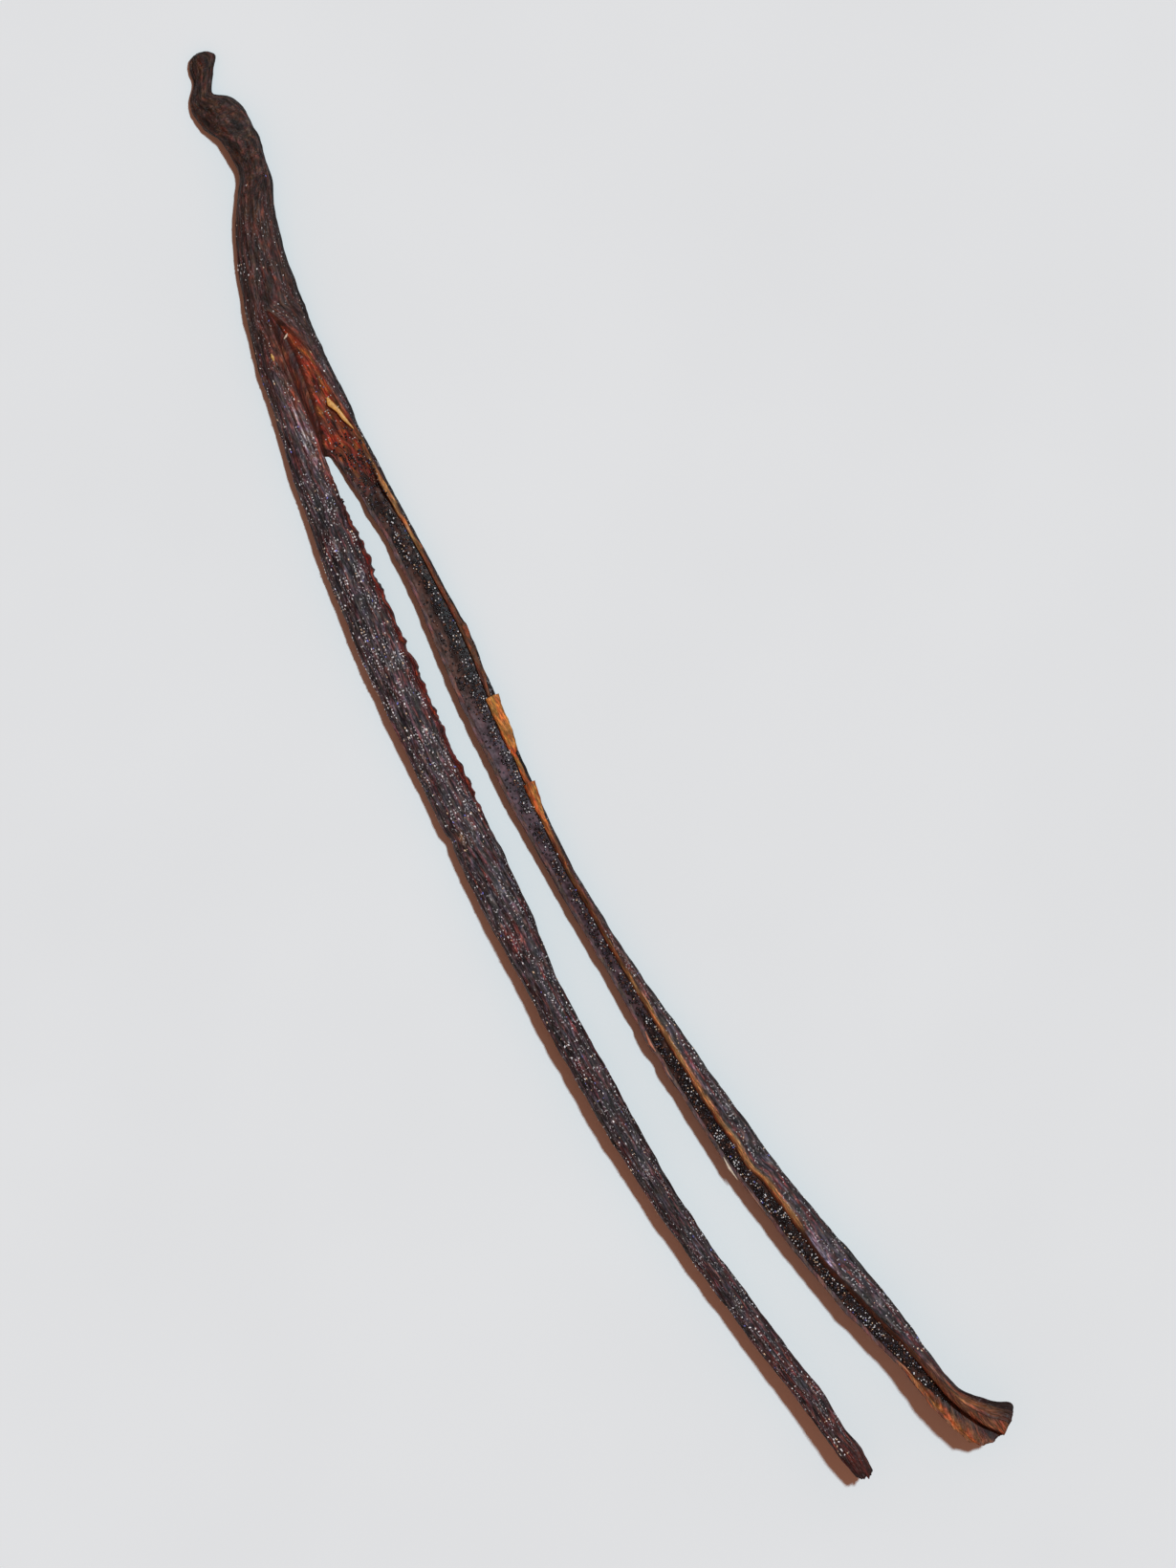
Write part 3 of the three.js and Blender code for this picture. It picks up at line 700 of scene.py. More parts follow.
def open_slit(t, front, split, a, b):
    """The two cut faces: one surface where the pod is whole, parting along the slit."""
    steps = arange(INNER_STEPS + 1)[None, :]
    reach = front[:, None] + 0.4
    depth = clip((reach - steps) / reach, 0, 1) ** 0.55
    depth = depth * mix(0.25, 1.0, smooth(SLIT_START, 33, t))[:, None]
    gape = mix(depth, 1.0, smooth(CROTCH - 0.5, CROTCH + 0.8, t)[:, None])
    gape = where(split, gape, 0.0)[..., None]
    both = (a + b) / 2
    level = (a[:, :1, 2] + b[:, :1, 2]) / 2 - mix(0.5, 1.1, smooth(SLIT_START, CROTCH, t))[:, None]
    near = (1 - smooth(CROTCH - 2.0, CROTCH + 0.2, t))[:, None]
    faces = [mix(both, a, gape), mix(both, b, gape)]
    for face in faces:
        x, y, z = np.moveaxis(face, -1, 0)
        lumps = noise(x / 0.8, y / 0.7, 95) + 0.5 * noise(x / 0.35, y / 0.3, 96)
        floor = level + 0.13 * lumps
        raised = floor + 0.2 * np.logaddexp(0, (z - floor) / 0.2)
        face[:, 1:-1, 2] = mix(z, np.maximum(raised, z), near)[:, 1:-1]
    return faces


def grid_quads(ids, mask, flip):
    q = stack([ids[:-1, :-1], ids[1:, :-1], ids[1:, 1:], ids[:-1, 1:]], -1)[mask]
    return q[:, ::-1] if flip else q


def torn_end(outer, inner, flip):
    """Triangles that close a half's end between its last skin row and cut-face row."""
    step = OUTER_STEPS // INNER_STEPS
    tris = []
    for k in range(INNER_STEPS):
        lo, hi = step * k, step * (k + 1)
        fan = [[outer[i], inner[k + (i > lo)], outer[i + 1]] for i in range(lo, hi)]
        fan.append([inner[k], inner[k + 1], outer[lo + 1]])
        tris += [tri[::-1] if flip else tri for tri in fan if len(set(tri)) == 3]
    return tris


def stem_end(rim, rim_points, centre, start):
    """The broken stem's domed end: new points, quads and triangles."""
    points, quads, ring = [], [], rim
    for r in range(1, STEM_RINGS):
        k = 1 - r / STEM_RINGS
        dome = centre + (rim_points - centre) * k
        bumps = noise(rim_points[:, 1] * 3 * k, rim_points[:, 2] * 3 * k, 91)
        dome[:, 0] -= 0.28 * (1 - k * k) + 0.05 * bumps
        points.append(dome)
        ids = start + arange(len(rim)) + (r - 1) * len(rim)
        quads.append(stack([np.roll(ring, -1), ring, ids, np.roll(ids, -1)], -1))
        ring = ids
    points.append(centre[None, :] - array([[0.30, 0, 0]]))
    apex = start + (STEM_RINGS - 1) * len(rim)
    tris = stack([np.full(len(ring), apex), np.roll(ring, -1), ring], -1)
    return concatenate(points), concatenate(quads), tris


def build_husk():
    """Skin and flesh of the whole pod as one closed mesh."""
    t = station_list()
    count, m, n = len(t), OUTER_STEPS, INNER_STEPS
    halves = [SKIN, OPEN]
    sections = [h.section(t) for h in halves]
    front = where(t >= CROTCH - 1e-6, n, (n - 1) * slit_front(t))
    cells = arange(n)[None, :] < front[:-1, None]
    cells[t[:-1] < SLIT_START - 1e-6] = False
    around = np.pad(cells, 1, constant_values=True)
    split = around[:-1, :-1] & around[1:, :-1] & around[:-1, 1:] & around[1:, 1:]
    faces = open_slit(t, front, split, *(data["inner"] for data in sections))

    size = count * (n + 1)
    grid = arange(size).reshape(count, n + 1)
    inner_ids = [grid, where(split, grid + size, grid)]
    whole = ~split[:, 0]
    start = 2 * size
    inner_values, outer_values, quads, tris, outer_ids = [], [], [], [], []
    for k, (half, data) in enumerate(zip(halves, sections)):
        x = data["x"]
        outer = [data["outer"], skin_paint(half, data), skin_grain(x, data["s"]), glint_share(half, x)]
        grain = flesh_grain(half, data["inner"], x[:, :n + 1])
        inner = [faces[k], flesh_paint(half, data), grain, np.zeros((count, n + 1))]
        # skin colours run on over the seam where the pod isn't cut
        inner[1][whole, 0] = outer[1][whole, 0]
        inner[2][whole, 0] = skin_grain(t[whole], 0 * t[whole])
        inner[3][whole, 0] = glint_share(half, t[whole])
        inner_values.append(inner)
        outer_values.append([v[:, 1:m] for v in outer])
        ids = start + arange(count * (m - 1)).reshape(count, m - 1)
        start += count * (m - 1)
        outer_ids.append(concatenate([inner_ids[k][:, :1], ids, inner_ids[k][:, n:]], 1))
        quads.append(grid_quads(outer_ids[k], np.full((count - 1, m), True), k == 0))
        quads.append(grid_quads(inner_ids[k], cells, k == 1))
        tris.append(torn_end(outer_ids[k][-1], inner_ids[k][-1], k == 0))
    values = [
        concatenate([part[c].reshape(-1, *part[c].shape[2:]) for part in inner_values + outer_values])
        for c in range(4)
    ]
    rim = concatenate([outer_ids[0][0], outer_ids[1][0][1:m][::-1]])
    centre = sum(data["outer"][0].mean(0) for data in sections) / 2
    cap, cap_quads, cap_tris = stem_end(rim, values[0][rim], centre, start)
    cap_grain = cap[:, ::-1] * (2, 2, 0)
    cap_values = [cap, STEM_BREAK + 0 * cap, cap_grain, 0 * cap[:, 0]]
    points, paint, grain, skin = (concatenate(pair) for pair in zip(values, cap_values))
    faces_by_size = concatenate(quads + [cap_quads]), concatenate(tris + [cap_tris])
    obj = make_object("pod_husk", points, faces_by_size, paint=paint, grain=grain, skin=skin)
    return obj, sections, faces[1]


# ------ materials
class Shader:
    """A node tree in the making. A socket is a pair of node and output name."""

    def __init__(self, name, roughness=None, specular=None):
        self.material = bpy.data.materials.new(name)
        self.material.use_nodes = True
        self.tree = self.material.node_tree
        self.tree.nodes.clear()
        self.bsdf = self.node("ShaderNodeBsdfPrincipled")
        self.node("ShaderNodeOutputMaterial", {"Surface": (self.bsdf, "BSDF")})
        self.fill(self.bsdf, {"Roughness": roughness, "Specular IOR Level": specular})

    def fill(self, node, inputs):
        """Sets a node's inputs to numbers and colours, or links sockets to them."""
        for key, value in inputs.items():
            if isinstance(value, tuple) and hasattr(value[0], "outputs"):
                self.tree.links.new(value[0].outputs[value[1]], node.inputs[key])
            elif value is not None:
                node.inputs[key].default_value = value

    def node(self, kind, inputs=None, **settings):
        made = self.tree.nodes.new(kind)
        for key, value in settings.items():
            setattr(made, key, value)
        self.fill(made, inputs or {})
        return made

    def attribute(self, name, output):
        return self.node("ShaderNodeAttribute", attribute_name=name), output

    def noise(self, source, scale, detail=2.0, rough=0.5):
        inputs = {"Vector": source, "Scale": scale, "Detail": detail, "Roughness": rough}
        return self.node("ShaderNodeTexNoise", inputs), "Fac"

    def ramp(self, source, *stops):
        """Colours over a texture; each stop is a place and a grey or a colour."""
        made = self.node("ShaderNodeValToRGB", {"Fac": source})
        elements = made.color_ramp.elements
        while len(elements) < len(stops):
            elements.new(0.5)
        for element, (at, color) in zip(elements, stops):
            element.position = at
            element.color = (*np.broadcast_to(color, 3), 1.0)
        return made, "Color"

    def mix(self, blend, factor, a, b):
        inputs = {0: factor, 6: a, 7: b}
        return self.node("ShaderNodeMix", inputs, data_type="RGBA", blend_type=blend), 2

    def math(self, kind, a, b):
        return self.node("ShaderNodeMath", {0: a, 1: b}, operation=kind), "Value"

    def bump(self, height, strength, distance, before=None):
        inputs = {"Strength": strength, "Distance": distance, "Height": height, "Normal": before}
        return self.node("ShaderNodeBump", inputs), "Normal"


def husk_material():
    s = Shader("husk_skin", specular=0.17)
    grain = s.attribute("grain", "Vector")
    # the skin attribute holds the share of painted glint specks
    skin = s.attribute("skin", "Fac")

    def texture(along, across, detail, rough=0.5):
        scaled = s.node("ShaderNodeMapping", {"Vector": grain, "Scale": (along, across, 1.0)})
        return s.noise((scaled, "Vector"), 1.0, detail, rough)

    streak = texture(0.55, 3.2, 3.0, 0.62)
    thread = texture(1.8, 6.5, 2.0, 0.6)
    speck = texture(4.2, 7.5, 0.0)
    strength = s.math("ADD", s.math("MULTIPLY", skin, 0.4), 0.5)
    hue = texture(0.45, 1.7, 2.0)
    cast = texture(0.9, 2.4, 1.0)
    tints = (
        (strength, streak, (0.37, (0.20, 0.18, 0.18)), (0.50, 0.80), (0.63, (2.5, 2.5, 2.55))),
        (strength, thread, (0.32, (0.32, 0.30, 0.30)), (0.52, 0.95), (0.72, (2.3, 2.25, 2.25))),
        (0.85, hue, (0.36, (0.82, 1.0, 0.92)), (0.50, 1.0), (0.64, (1.45, 0.86, 0.78))),
        (0.8, cast, (0.38, (1.06, 1.0, 0.82)), (0.62, (0.96, 0.98, 1.30))),
    )
    color = s.attribute("paint", "Color")
    for factor, source, *stops in tints:
        color = s.mix("MULTIPLY", factor, color, s.ramp(source, *stops))
    # painted glints: pale specks mixed into the base colour where the speck texture peaks
    crowd = s.ramp(texture(0.30, 1.3, 2.0), (0.48, 0), (0.56, 1))
    glint_dots = s.math("MULTIPLY", s.ramp(speck, (0.67, 0), (0.70, 1)), crowd)
    glint_dots = s.math("MULTIPLY", s.math("MULTIPLY", glint_dots, skin), 0.6)
    bump = s.bump(streak, 0.9, 0.00014)
    bump = s.bump(thread, 0.9, 0.00010, bump)
    s.fill(s.bsdf, {
        "Base Color": s.mix("MIX", glint_dots, color, (*PAINTED_GLINT, 1.0)),
        "Roughness": s.ramp(thread, (0.3, 0.42), (0.7, 0.62)),
        "Normal": s.bump(speck, 0.8, 0.00006, bump),
    })
    return s.material


def plain_material(name, cloud, stops, bump, roughness, specular, painted=True, cells=None):
    """Point colours under a cloudy texture, with bumps from the clouds or from small cells."""
    s = Shader(name, roughness, specular)
    place = s.node("ShaderNodeTexCoord"), "Object"
    texture = s.noise(place, *cloud)
    color = s.attribute("paint", "Color") if painted else None
    if stops:
        tone = s.ramp(texture, *stops)
        color = s.mix("MULTIPLY", 1.0, color, tone) if painted else tone
    if cells:
        texture = s.node("ShaderNodeTexVoronoi", {"Vector": place, "Scale": cells}), "Distance"
    s.fill(s.bsdf, {"Base Color": color, "Normal": s.bump(texture, *bump) if bump else None})
    return s.material


def small_materials():
    return {
        "pulp": plain_material(
            "pulp", (1400.0, 3.0, 0.6), ((0.35, (0.45, 0.43, 0.43)), (0.5, 0.9), (0.68, (1.6, 1.5, 1.45))),
            (0.5, 0.00006), 0.5, 0.2, cells=3600.0,
        ),
        "seeds": plain_material("seeds", (9000.0, 1.0), None, (0.3, 0.00002), 0.22, 0.4),
        # bright flecks that paint glints
        "glint_flecks": plain_material(
            "glint_flecks", (7000.0, 1.0), ((0.3, (0.75, 0.75, 0.78)), (0.7, 1.0)), None, 0.3, None,
        ),
        "fibre_and_glint": plain_material(
            "fibre_and_glint", (4500.0, 3.0, 0.6), ((0.3, (0.6, 0.52, 0.45)), (0.65, 1.1)), (0.5, 0.00004), 0.5, None,
        ),
    }


# ------ pulp, seeds
def unit_ball(segments=6, rings=4):
    """A ball with few faces: points and triangles."""
    r, k = np.divmod(arange(segments, rings * segments), segments)
    lat, lon = pi * r / rings, 2 * pi * (k + 0.5 * (r % 2)) / segments
    pts = stack([sin(lat) * cos(lon), sin(lat) * sin(lon), cos(lat)], -1)
    pts = concatenate([[[0, 0, 1]], pts, [[0, 0, -1]]])
    last, base, tris = len(pts) - 1, 1 + (rings - 2) * segments, []
    for k in range(segments):
        after = (k + 1) % segments
        tris += [[0, 1 + k, 1 + after], [base + k, last, base + after]]
        for ring in range(1, base, segments):
            a, b = ring + k, ring + after
            tris += [[a, a + segments, b], [b, a + segments, b + segments]]
    return pts, array(tris)


def spindle():
    """A slim eight-sided splinter along its first axis."""
    pts = array([[1, 0, 0], [-1, 0, 0], [0, 1, 0], [0, -1, 0], [0, 0, 1], [0, 0, -1]], float)
    ring = [0, 2, 1, 3]
    tris = []
    for a, b in zip(ring, ring[1:] + ring[:1]):
        tris += [[a, b, 4], [b, a, 5]]
    return pts, array(tris)


def scatter(name, shape, centres, axes, colors):
    """Joined copies of a small shape, each with its own three axes."""
    pts, tris = shape
    world = centres[:, None, :] + np.einsum("pk,nkc->npc", pts, axes)
    ids = tris[None] + (arange(len(centres)) * len(pts))[:, None, None]
    return make_object(name, world, [ids.reshape(-1, 3)], paint=np.repeat(colors, len(pts), 0))


def random_axes(rng, count, sizes):
    """Random rotations scaled by sizes (count, 3)."""
    w, x, y, z = unit(rng.normal(size=(count, 4))).T
    rot = stack([
        stack([1 - 2 * (y * y + z * z), 2 * (x * y + w * z), 2 * (x * z - w * y)], -1),
        stack([2 * (x * y - w * z), 1 - 2 * (x * x + z * z), 2 * (y * z + w * x)], -1),
        stack([2 * (x * z + w * y), 2 * (y * z - w * x), 1 - 2 * (x * x + y * y)], -1),
    ], 1)
    return rot * sizes[:, :, None]


# a main colour and its share of the draws, two others, and the range of brightness
SEED_COLORS = srgb(34, 28, 29), 0.72, srgb(84, 52, 40), 0.88, srgb(58, 54, 66), (0.6, 1.5)
# colours of the bright flecks that paint glints, some bluish
GLINT_COLORS = srgb(226, 222, 220), 0.78, srgb(120, 120, 200), 0.83, srgb(214, 180, 146), (0.55, 1.25)
PULP_BLACK = srgb(30, 24, 25)
PULP_BROWN = srgb(80, 54, 47)
PULP_VIOLET = srgb(92, 76, 86)


def picked_colors(rng, count, choices):
    main, most, second, more, third, brightness = choices
    pick = rng.uniform(size=(count, 1))
    color = where(pick < most, main, where(pick < more, second, third))
    return color * rng.uniform(*brightness, (count, 1))


# shape, sizes drawn for each copy, their form and the colours
SEED = unit_ball(), 1, SEED_FORM, SEED_COLORS
GLINT = spindle(), 3, 1.0, GLINT_COLORS


def strew(name, kind, centres, rng, sizes, brightness=1.0):
    """Seeds or glint flecks turned at random, with random sizes and colours."""
    shape, draws, form, choices = kind
    count = len(centres)
    axes = random_axes(rng, count, rng.uniform(*sizes, (count, draws)) * form)
    return scatter(name, shape, centres, axes, brightness * picked_colors(rng, count, choices))


def pulp_brown(half, x, share):
    """Where the pulp shows as brown flesh instead of dark seeds, 0 to 1."""
    clump = noise(x / 2.0, share * 2.2, half.seed + 11) * 1.1
    if not half.open:
        return clip(0.2 + clump, 0, 1)
    low = (1 - smooth(0.25, 0.6, share)) * window(x, 55, 60, 106, 113)
    return clip(0.95 * low + 0.6 * (1 - smooth(49, 58, x)) + clump, 0, 1)


def tube_quads(count, ring):
    """Quads between rings of points that follow each other."""
    ids = arange(count * ring).reshape(count, ring)
    nxt = np.roll(ids, -1, 1)
    return ids, stack([ids[:-1], ids[1:], nxt[1:], nxt[:-1]], -1).reshape(-1, 4)


def build_pulp(half, name):
    start, stop, _ = half.pulp_run
    t = arange(start, stop, PULP_GAP)
    points, _, _ = half.pulp(t)
    count, m = points.shape[:2]
    ids, quads = tube_quads(count, m)
    tris = []
    for hub, ring, flip in ((count * m, ids[0], half.open), (count * m + 1, ids[-1], not half.open)):
        fan = stack([np.full(m, hub), np.roll(ring, -1), ring], -1)
        tris.append(fan[:, ::-1] if flip else fan)
    share = clip((arange(m) - PULP_STEPS) / (m - PULP_STEPS - 1), 0, 1)[None, :]
    x = half.frame(t)["x"][:, None]
    brown = pulp_brown(half, x, share)
    violet = window(x, 70, 78, 106, 114) * mix(0.45, 0.75, brown) if half.open else 0.0
    paint = layered(PULP_BLACK, [(PULP_BROWN, brown), (PULP_VIOLET, violet)])
    paint = concatenate([paint.reshape(-1, 3), paint[0, :1], paint[-1, :1]])
    points = concatenate([points.reshape(-1, 3), points[:1].mean(1), points[-1:].mean(1)])
    faces = (quads[:, ::-1] if half.open else quads, concatenate(tris))
    return make_object(name, points, faces, paint=paint)


def seeds_on(half, start, stop, gap, rng):
    """Seed centres over the pulp's top, on a shaken grid."""
    t = arange(start, stop, gap)
    t = t + rng.uniform(-0.3, 0.3, len(t)) * gap
    t = np.sort(clip(t, start, stop - 0.01))
    _, top, normal = half.pulp(t)
    centres, across = [], []
    for row, nor in zip(top, normal):
        steps = len(row) - 1
        span = np.linalg.norm(row[-1] - row[0]) * (len(row) + 1) / steps
        number = max(1, int(round(span / gap)))
        place = (arange(number) + 0.5 + rng.uniform(-0.38, 0.38, number)) / number * steps
        low = np.floor(clip(place, 0, steps - 0.001)).astype(int)
        spot = mix(row[low], row[low + 1], (place - low)[:, None])
        spot[:, :1] += rng.uniform(-0.42, 0.42, (number, 1)) * gap
        centres.append(spot + nor[0] * rng.uniform(-0.03, 0.07, number)[:, None])
        across.append(place / steps)
    return concatenate(centres), concatenate(across)


# name, half, start, end, gap and sizes of the seeds on each half
SEED_RUNS = (
    ("open_half_seeds", OPEN, 48.0, 161.0, 0.27, (0.78, 1.12)),
    ("skin_half_seeds", SKIN, 56.0, 158.0, 0.40, (0.975, 1.4)),
)


def build_seeds():
    rng = np.random.default_rng(7)
    made = []
    for name, half, start, stop, gap, sizes in SEED_RUNS:
        centres, across = seeds_on(half, start, stop, gap, rng)
        if half is SKIN:
            centres[:, 2] = np.maximum(centres[:, 2], SEED_RADIUS + 0.05)
        bare = pulp_brown(half, centres[:, 0], across) if half.open else 0.0
        centres = centres[rng.uniform(size=len(centres)) < 0.95 - 0.75 * bare]
        made.append(strew(name, SEED, centres, rng, sizes))
    return made


# ------ small things
def surface_spots(section, rng, count, x_range, share_range, weight, flip):
    """Random points on the skin's ridges with their directions."""
    x, p, cols = section["x"][:, 0], section["outer"], OUTER_STEPS
    rows = np.flatnonzero((x > x_range[0]) & (x < x_range[1]))
    i = rng.choice(rows[:-1], count * 6)
    k = rng.integers(int(share_range[0] * cols), int(share_range[1] * cols), count * 6)
    score = section["d"][i, k] * 9 + rng.normal(0, 0.6, count * 6) + weight(x[i], section["s"][i, k])
    best = np.argsort(-score)[:count]
    i, k = i[best], k[best]
    along = unit(p[np.minimum(i + 1, len(x) - 1), k] - p[i, k])
    normal = unit(np.cross(along, p[i, np.minimum(k + 1, cols)] - p[i, k]))
    return p[i, k], along, -normal if flip else normal


# name, lengths, widths, then [half, count, places along, places across]
SKIN_GLINTS = (
    ("skin_fine_glint_flecks", (0.06, 0.10), (0.05, 0.07), (
        (0, 80, (14, 46), (0.02, 0.6)), (0, 380, (44, 84), (0.05, 0.85)),
        (0, 260, (84, 126), (0.05, 0.85)), (0, 150, (126, 158), (0.05, 0.85)),
        (1, 30, (14, 46), (0.0, 0.5)), (1, 150, (104, 156), (0.03, 0.4)),
    )),
    ("skin_glint_flecks", (0.11, 0.21), (0.06, 0.105), (
        (0, 30, (18, 46), (0.02, 0.6)), (0, 330, (46, 84), (0.05, 0.8)),
        (0, 130, (84, 126), (0.08, 0.8)), (0, 60, (126, 158), (0.08, 0.8)),
        (1, 12, (14, 40), (0.0, 0.5)), (1, 55, (106, 156), (0.05, 0.35)),
        (0, 16, (157.6, 160.6), (0.5, 0.72)), (0, 5, (22, 24), (0.3, 0.5)),
    )),
)


def build_glint_flecks(sections):
    """Painted glints: small bright flecks along the ridges of the skin."""
    rng = np.random.default_rng(11)

    def clump(x, s):
        return 1.3 * noise(x / 6, s / 1.3, 101) + 4.2 * noise(x / 4.2, s / 0.13, 102)

    made = []
    for name, lengths, widths, plans in SKIN_GLINTS:
        spots = [
            surface_spots(sections[h], rng, count, x_range, share_range, clump, h == 0)
            for h, count, x_range, share_range in plans
        ]
        centre, along, up = (concatenate(column) for column in zip(*spots))
        count = len(centre)
        length = rng.uniform(*lengths, (count, 1))
        width = rng.uniform(*widths, (count, 1))
        swing = rng.normal(0, 0.6, (count, 1))
        first = along * cos(swing) + np.cross(up, along) * sin(swing)
        axes = stack([first * length, np.cross(up, first) * width, up * width * 0.6], 1)
        colors = 1.5 * picked_colors(rng, count, GLINT_COLORS)
        made.append(scatter(name, spindle(), centre + up * 0.015, axes, colors))
    return made


def flesh_spots(section, open_flesh, rng, count, x_range, j_range):
    """Random points on the bare cut flesh of the open half."""
    x, cols = section["x"][:, 0], INNER_STEPS
    i = rng.choice(np.flatnonzero((x > x_range[0]) & (x < x_range[1])), count)
    k = rng.integers(int(j_range[0] * cols), int(j_range[1] * cols), count)
    bare = k < cols * slit_front(x[i]) - 1
    return open_flesh[i[bare], k[bare]], x[i[bare]]


def build_flesh_bits(section, open_flesh):
    """Loose seeds, and bright flecks that paint glints, on the flesh where the slit opens."""
    rng = np.random.default_rng(17)
    centre, x = flesh_spots(section, open_flesh, rng, 260, (40.0, 50.5), (0.10, 0.92))
    chance = smooth(39, 49, x) + 0.8 * noise(centre[:, 0] / 1.2, centre[:, 1] / 0.8, 104)
    keep = chance > rng.uniform(0.1, 0.9, len(x))
    clump = rng.uniform(-1, 1, (6, 3)) * (0.24, 0.10, 0.08) + (48.2, -8.62, 2.25)
    centre = concatenate([centre[keep] + (0, 0, 0.05), clump])
    seeds = strew("loose_seeds", SEED, centre, rng, (0.7, 1.1))
    centre, _ = flesh_spots(section, open_flesh, rng, 150, (29.0, 50.0), (0.06, 0.95))
    return seeds, strew("flesh_glint_flecks", GLINT, centre + (0, 0, 0.03), rng, (0.04, 0.10))


# [start, end, gap] along the open half's pulp
PULP_GLINTS = (
    (50, 60, 0.42), (60, 73, 0.38), (73, 90, 0.42), (90, 112, 0.42),
    (112, 125, 0.36), (125, 152, 0.30), (152, 160.6, 0.40),
)


def build_pulp_glint_flecks():
    """Painted glints: bright flecks among the seeds of the open half."""
    rng = np.random.default_rng(13)
    found = [seeds_on(OPEN, start, stop, gap, rng) for start, stop, gap in PULP_GLINTS]
    centre, share = (concatenate(column) for column in zip(*found))
    score = 1.3 * noise(centre[:, 0] / 1.6, centre[:, 1] / 0.7, 103)
    score = score - 0.9 * pulp_brown(OPEN, centre[:, 0], share)
    centre = centre[score + rng.normal(0, 0.4, len(centre)) > 0.2] + (0, 0, 0.15)
    return strew("pulp_glint_flecks", GLINT, centre, rng, (0.07, 0.13), 1.25)


def sliver(thickness, rows, steps=24, ring=8):
    """A flat tapering splinter along a line of points."""
    rows = array(rows)
    t = np.linspace(0, len(rows) - 1, steps)
    low = np.floor(clip(t, 0, len(rows) - 1.001)).astype(int)
    line = mix(rows[low], rows[low + 1], (t - low)[:, None])
    line, width = line[:, :3], line[:, 3, None, None]
    ahead = unit(np.gradient(line, axis=0))
    side = unit(np.cross(array([0, 0, 1.0]), ahead))
    up = np.cross(ahead, side)
    turn = (2 * pi * arange(ring) / ring)[None, :, None]
    rise = thickness * np.minimum(1, width / 0.12)
    offset = 0.5 * (width * cos(turn) * side[:, None] + rise * sin(turn) * up[:, None])
    ids, quads = tube_quads(steps, ring)
    tris = [[cap[0], cap[k], cap[k + 1]] for cap in (ids[0][::-1], ids[-1]) for k in range(1, ring - 1)]
    return (line[:, None] + offset).reshape(-1, 3), quads[:, ::-1], array(tris)[:, ::-1]


# thickness, colour, then [x, y, z, width] along each loose sliver
SLIVERS = (
    (0.14, (218, 160, 82), [37.9, -4.95, 2.15, 0.22], [38.6, -5.0, 2.25, 0.70], [39.6, -4.6, 2.37, 0.46],
     [40.6, -4.45, 2.36, 0.46], [42.1, -4.05, 2.17, 0.08]),
    (0.14, (206, 160, 84), [31.2, -8.0, 2.83, 0.1], [31.6, -8.05, 2.87, 0.36], [32.0, -8.1, 2.83, 0.12]),
    # painted highlight: this pale sliver stands in for a glint on the flesh
    (0.12, (220, 200, 180), [30.1, -5.5, 2.81, 0.08], [30.3, -5.8, 2.81, 0.26], [30.45, -6.1, 2.80, 0.08]),
    (0.1, (206, 186, 166), [127.3, -5.35, 2.95, 0.08], [128.6, -5.35, 3.0, 0.3], [130.1, -5.15, 3.05, 0.06]),
    (0.1, (178, 100, 66), [111.9, -6.45, 2.2, 0.08], [113.2, -6.6, 2.25, 0.34], [114.6, -6.45, 2.25, 0.1]),
    (0.1, (160, 92, 62), [116.0, -6.35, 2.35, 0.06], [117.0, -6.4, 2.4, 0.24], [117.9, -6.25, 2.45, 0.08]),
    (0.1, (124, 74, 50), [131.0, -4.75, 3.1, 0.06], [132.6, -4.5, 3.12, 0.26], [134.5, -4.2, 3.15, 0.08]),
    (0.1, (172, 104, 62), [154.4, 0.75, 3.95, 0.06], [155.4, 1.1, 4.05, 0.24], [156.6, 1.4, 4.2, 0.08]),
)


def build_splinters_and_glint():
    """The loose slivers that lie on the pod, and a pale sliver that paints a glint, as one piece."""
    parts, start = [], 0
    for thickness, color, *rows in SLIVERS:
        points, quads, tris = sliver(thickness, rows)
        parts.append((points, quads + start, tris + start, srgb(*color) + 0 * points))
        start += len(points)
    points, quads, tris, paint = (concatenate(column) for column in zip(*parts))
    return make_object("splinters_and_glint", points, (quads, tris), paint=paint)


# ------ stage, camera
FLOOR_REACH = 4000.0
VIEW_TURN = 62.2
VIEW_CENTRE = (86.3, 0.3)
VIEW_HEIGHT = 164.0
VIEW_DISTANCE = 1000.0
SENSOR = 36.0
KEY_COLOR = (0.826, 1.043, 1.124)
KEY_STRENGTH = 2.6
KEY_ELEVATION = 68.5
KEY_SWING = 8.0
KEY_ANGLE = 4.5
AMBIENT = (0.28, 0.119, 0.074)


def build_floor():
    points = FLOOR_REACH * array([[-1, -1, 0], [1, -1, 0], [1, 1, 0], [-1, 1, 0]], float)
    floor = make_object("floor", points, [[[0, 1, 2, 3]]])
    paper = plain_material("paper", (30.0,), ((0.3, 0.80), (0.7, 0.82)), None, 0.9, 0.1, painted=False)
    floor.data.materials.append(paper)


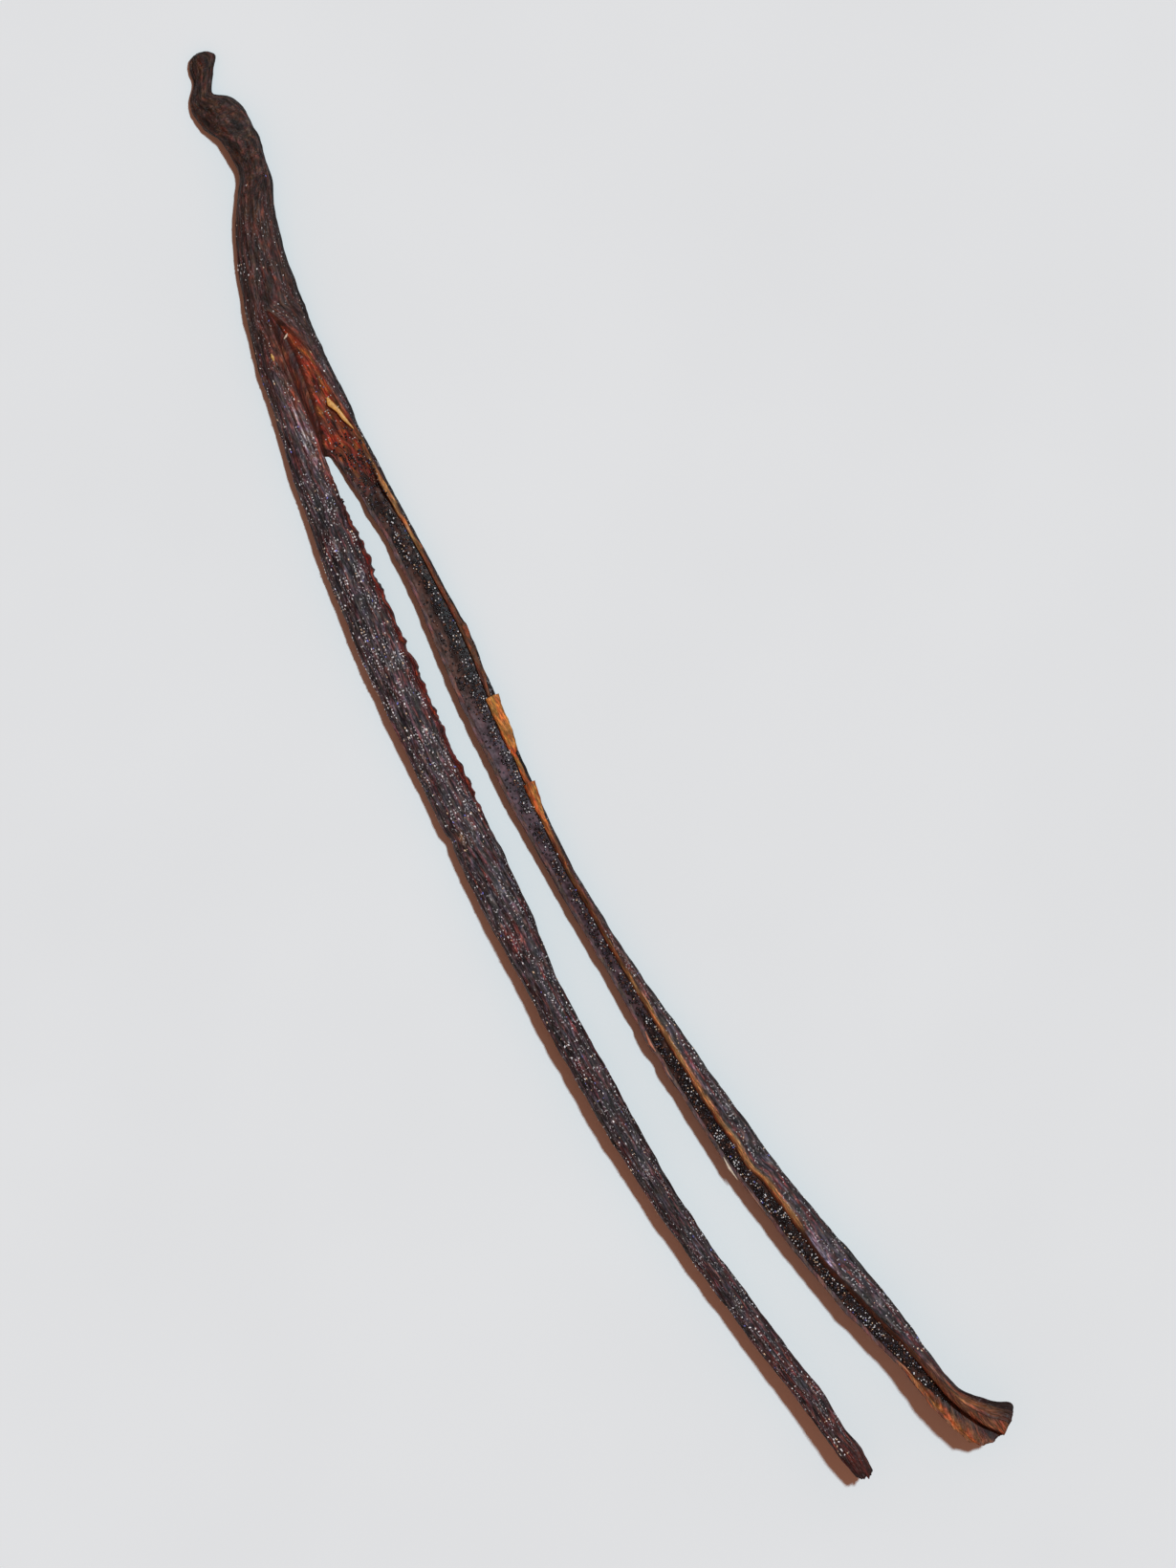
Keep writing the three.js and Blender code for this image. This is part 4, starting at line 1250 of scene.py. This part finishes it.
def build_camera():
    data = bpy.data.cameras.new("camera")
    data.sensor_fit = "VERTICAL"
    data.sensor_height = SENSOR
    data.lens = SENSOR * VIEW_DISTANCE / VIEW_HEIGHT
    data.clip_start = 0.01
    data.clip_end = 20
    cam = add_object("camera", data)
    x, y = VIEW_CENTRE
    cam.location = ((x - ORIGIN_X) * MM, (y - ORIGIN_Y) * MM, VIEW_DISTANCE * MM)
    cam.rotation_euler = (0, 0, radians(VIEW_TURN))
    bpy.context.scene.camera = cam


def build_light():
    scene = bpy.context.scene
    scene.view_settings.view_transform = "Standard"
    world = bpy.data.worlds.new("world")
    world.use_nodes = True
    back = world.node_tree.nodes["Background"]
    back.inputs["Color"].default_value = (*AMBIENT, 1)
    back.inputs["Strength"].default_value = 1.0
    scene.world = world
    data = bpy.data.lights.new("key", "SUN")
    data.energy = KEY_STRENGTH
    data.color = KEY_COLOR
    data.angle = radians(KEY_ANGLE)
    up, swing = radians(KEY_ELEVATION), radians(KEY_SWING)
    aim = Vector((cos(up) * sin(swing), -cos(up) * cos(swing), -sin(up)))
    add_object("key", data).rotation_euler = aim.to_track_quat("-Z", "Y").to_euler()


def dress(obj, material):
    """Gives a piece its material, body and slot."""
    obj.data.materials.append(material)
    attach(obj, "root")


def main():
    build_camera()
    build_light()
    build_floor()
    looks = small_materials()
    husk, sections, open_flesh = build_husk()
    dress(husk, husk_material())
    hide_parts("husk")
    open_pulp = build_pulp(OPEN, "open_half_pulp")
    skin_pulp = build_pulp(SKIN, "skin_half_pulp")
    dress(open_pulp, looks["pulp"])
    dress(skin_pulp, looks["pulp"])
    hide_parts("seed_pulp_open_half")
    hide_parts("seed_pulp_skin_half")
    for seeds in build_seeds():
        dress(seeds, looks["seeds"])
    # bright flecks that paint glints on the skin, flesh and pulp
    for glint_flecks in build_glint_flecks(sections):
        dress(glint_flecks, looks["glint_flecks"])
    loose_seeds, flesh_glint_flecks = build_flesh_bits(sections[1], open_flesh)
    dress(loose_seeds, looks["seeds"])
    dress(flesh_glint_flecks, looks["glint_flecks"])
    dress(build_pulp_glint_flecks(), looks["glint_flecks"])
    dress(build_splinters_and_glint(), looks["fibre_and_glint"])


main()
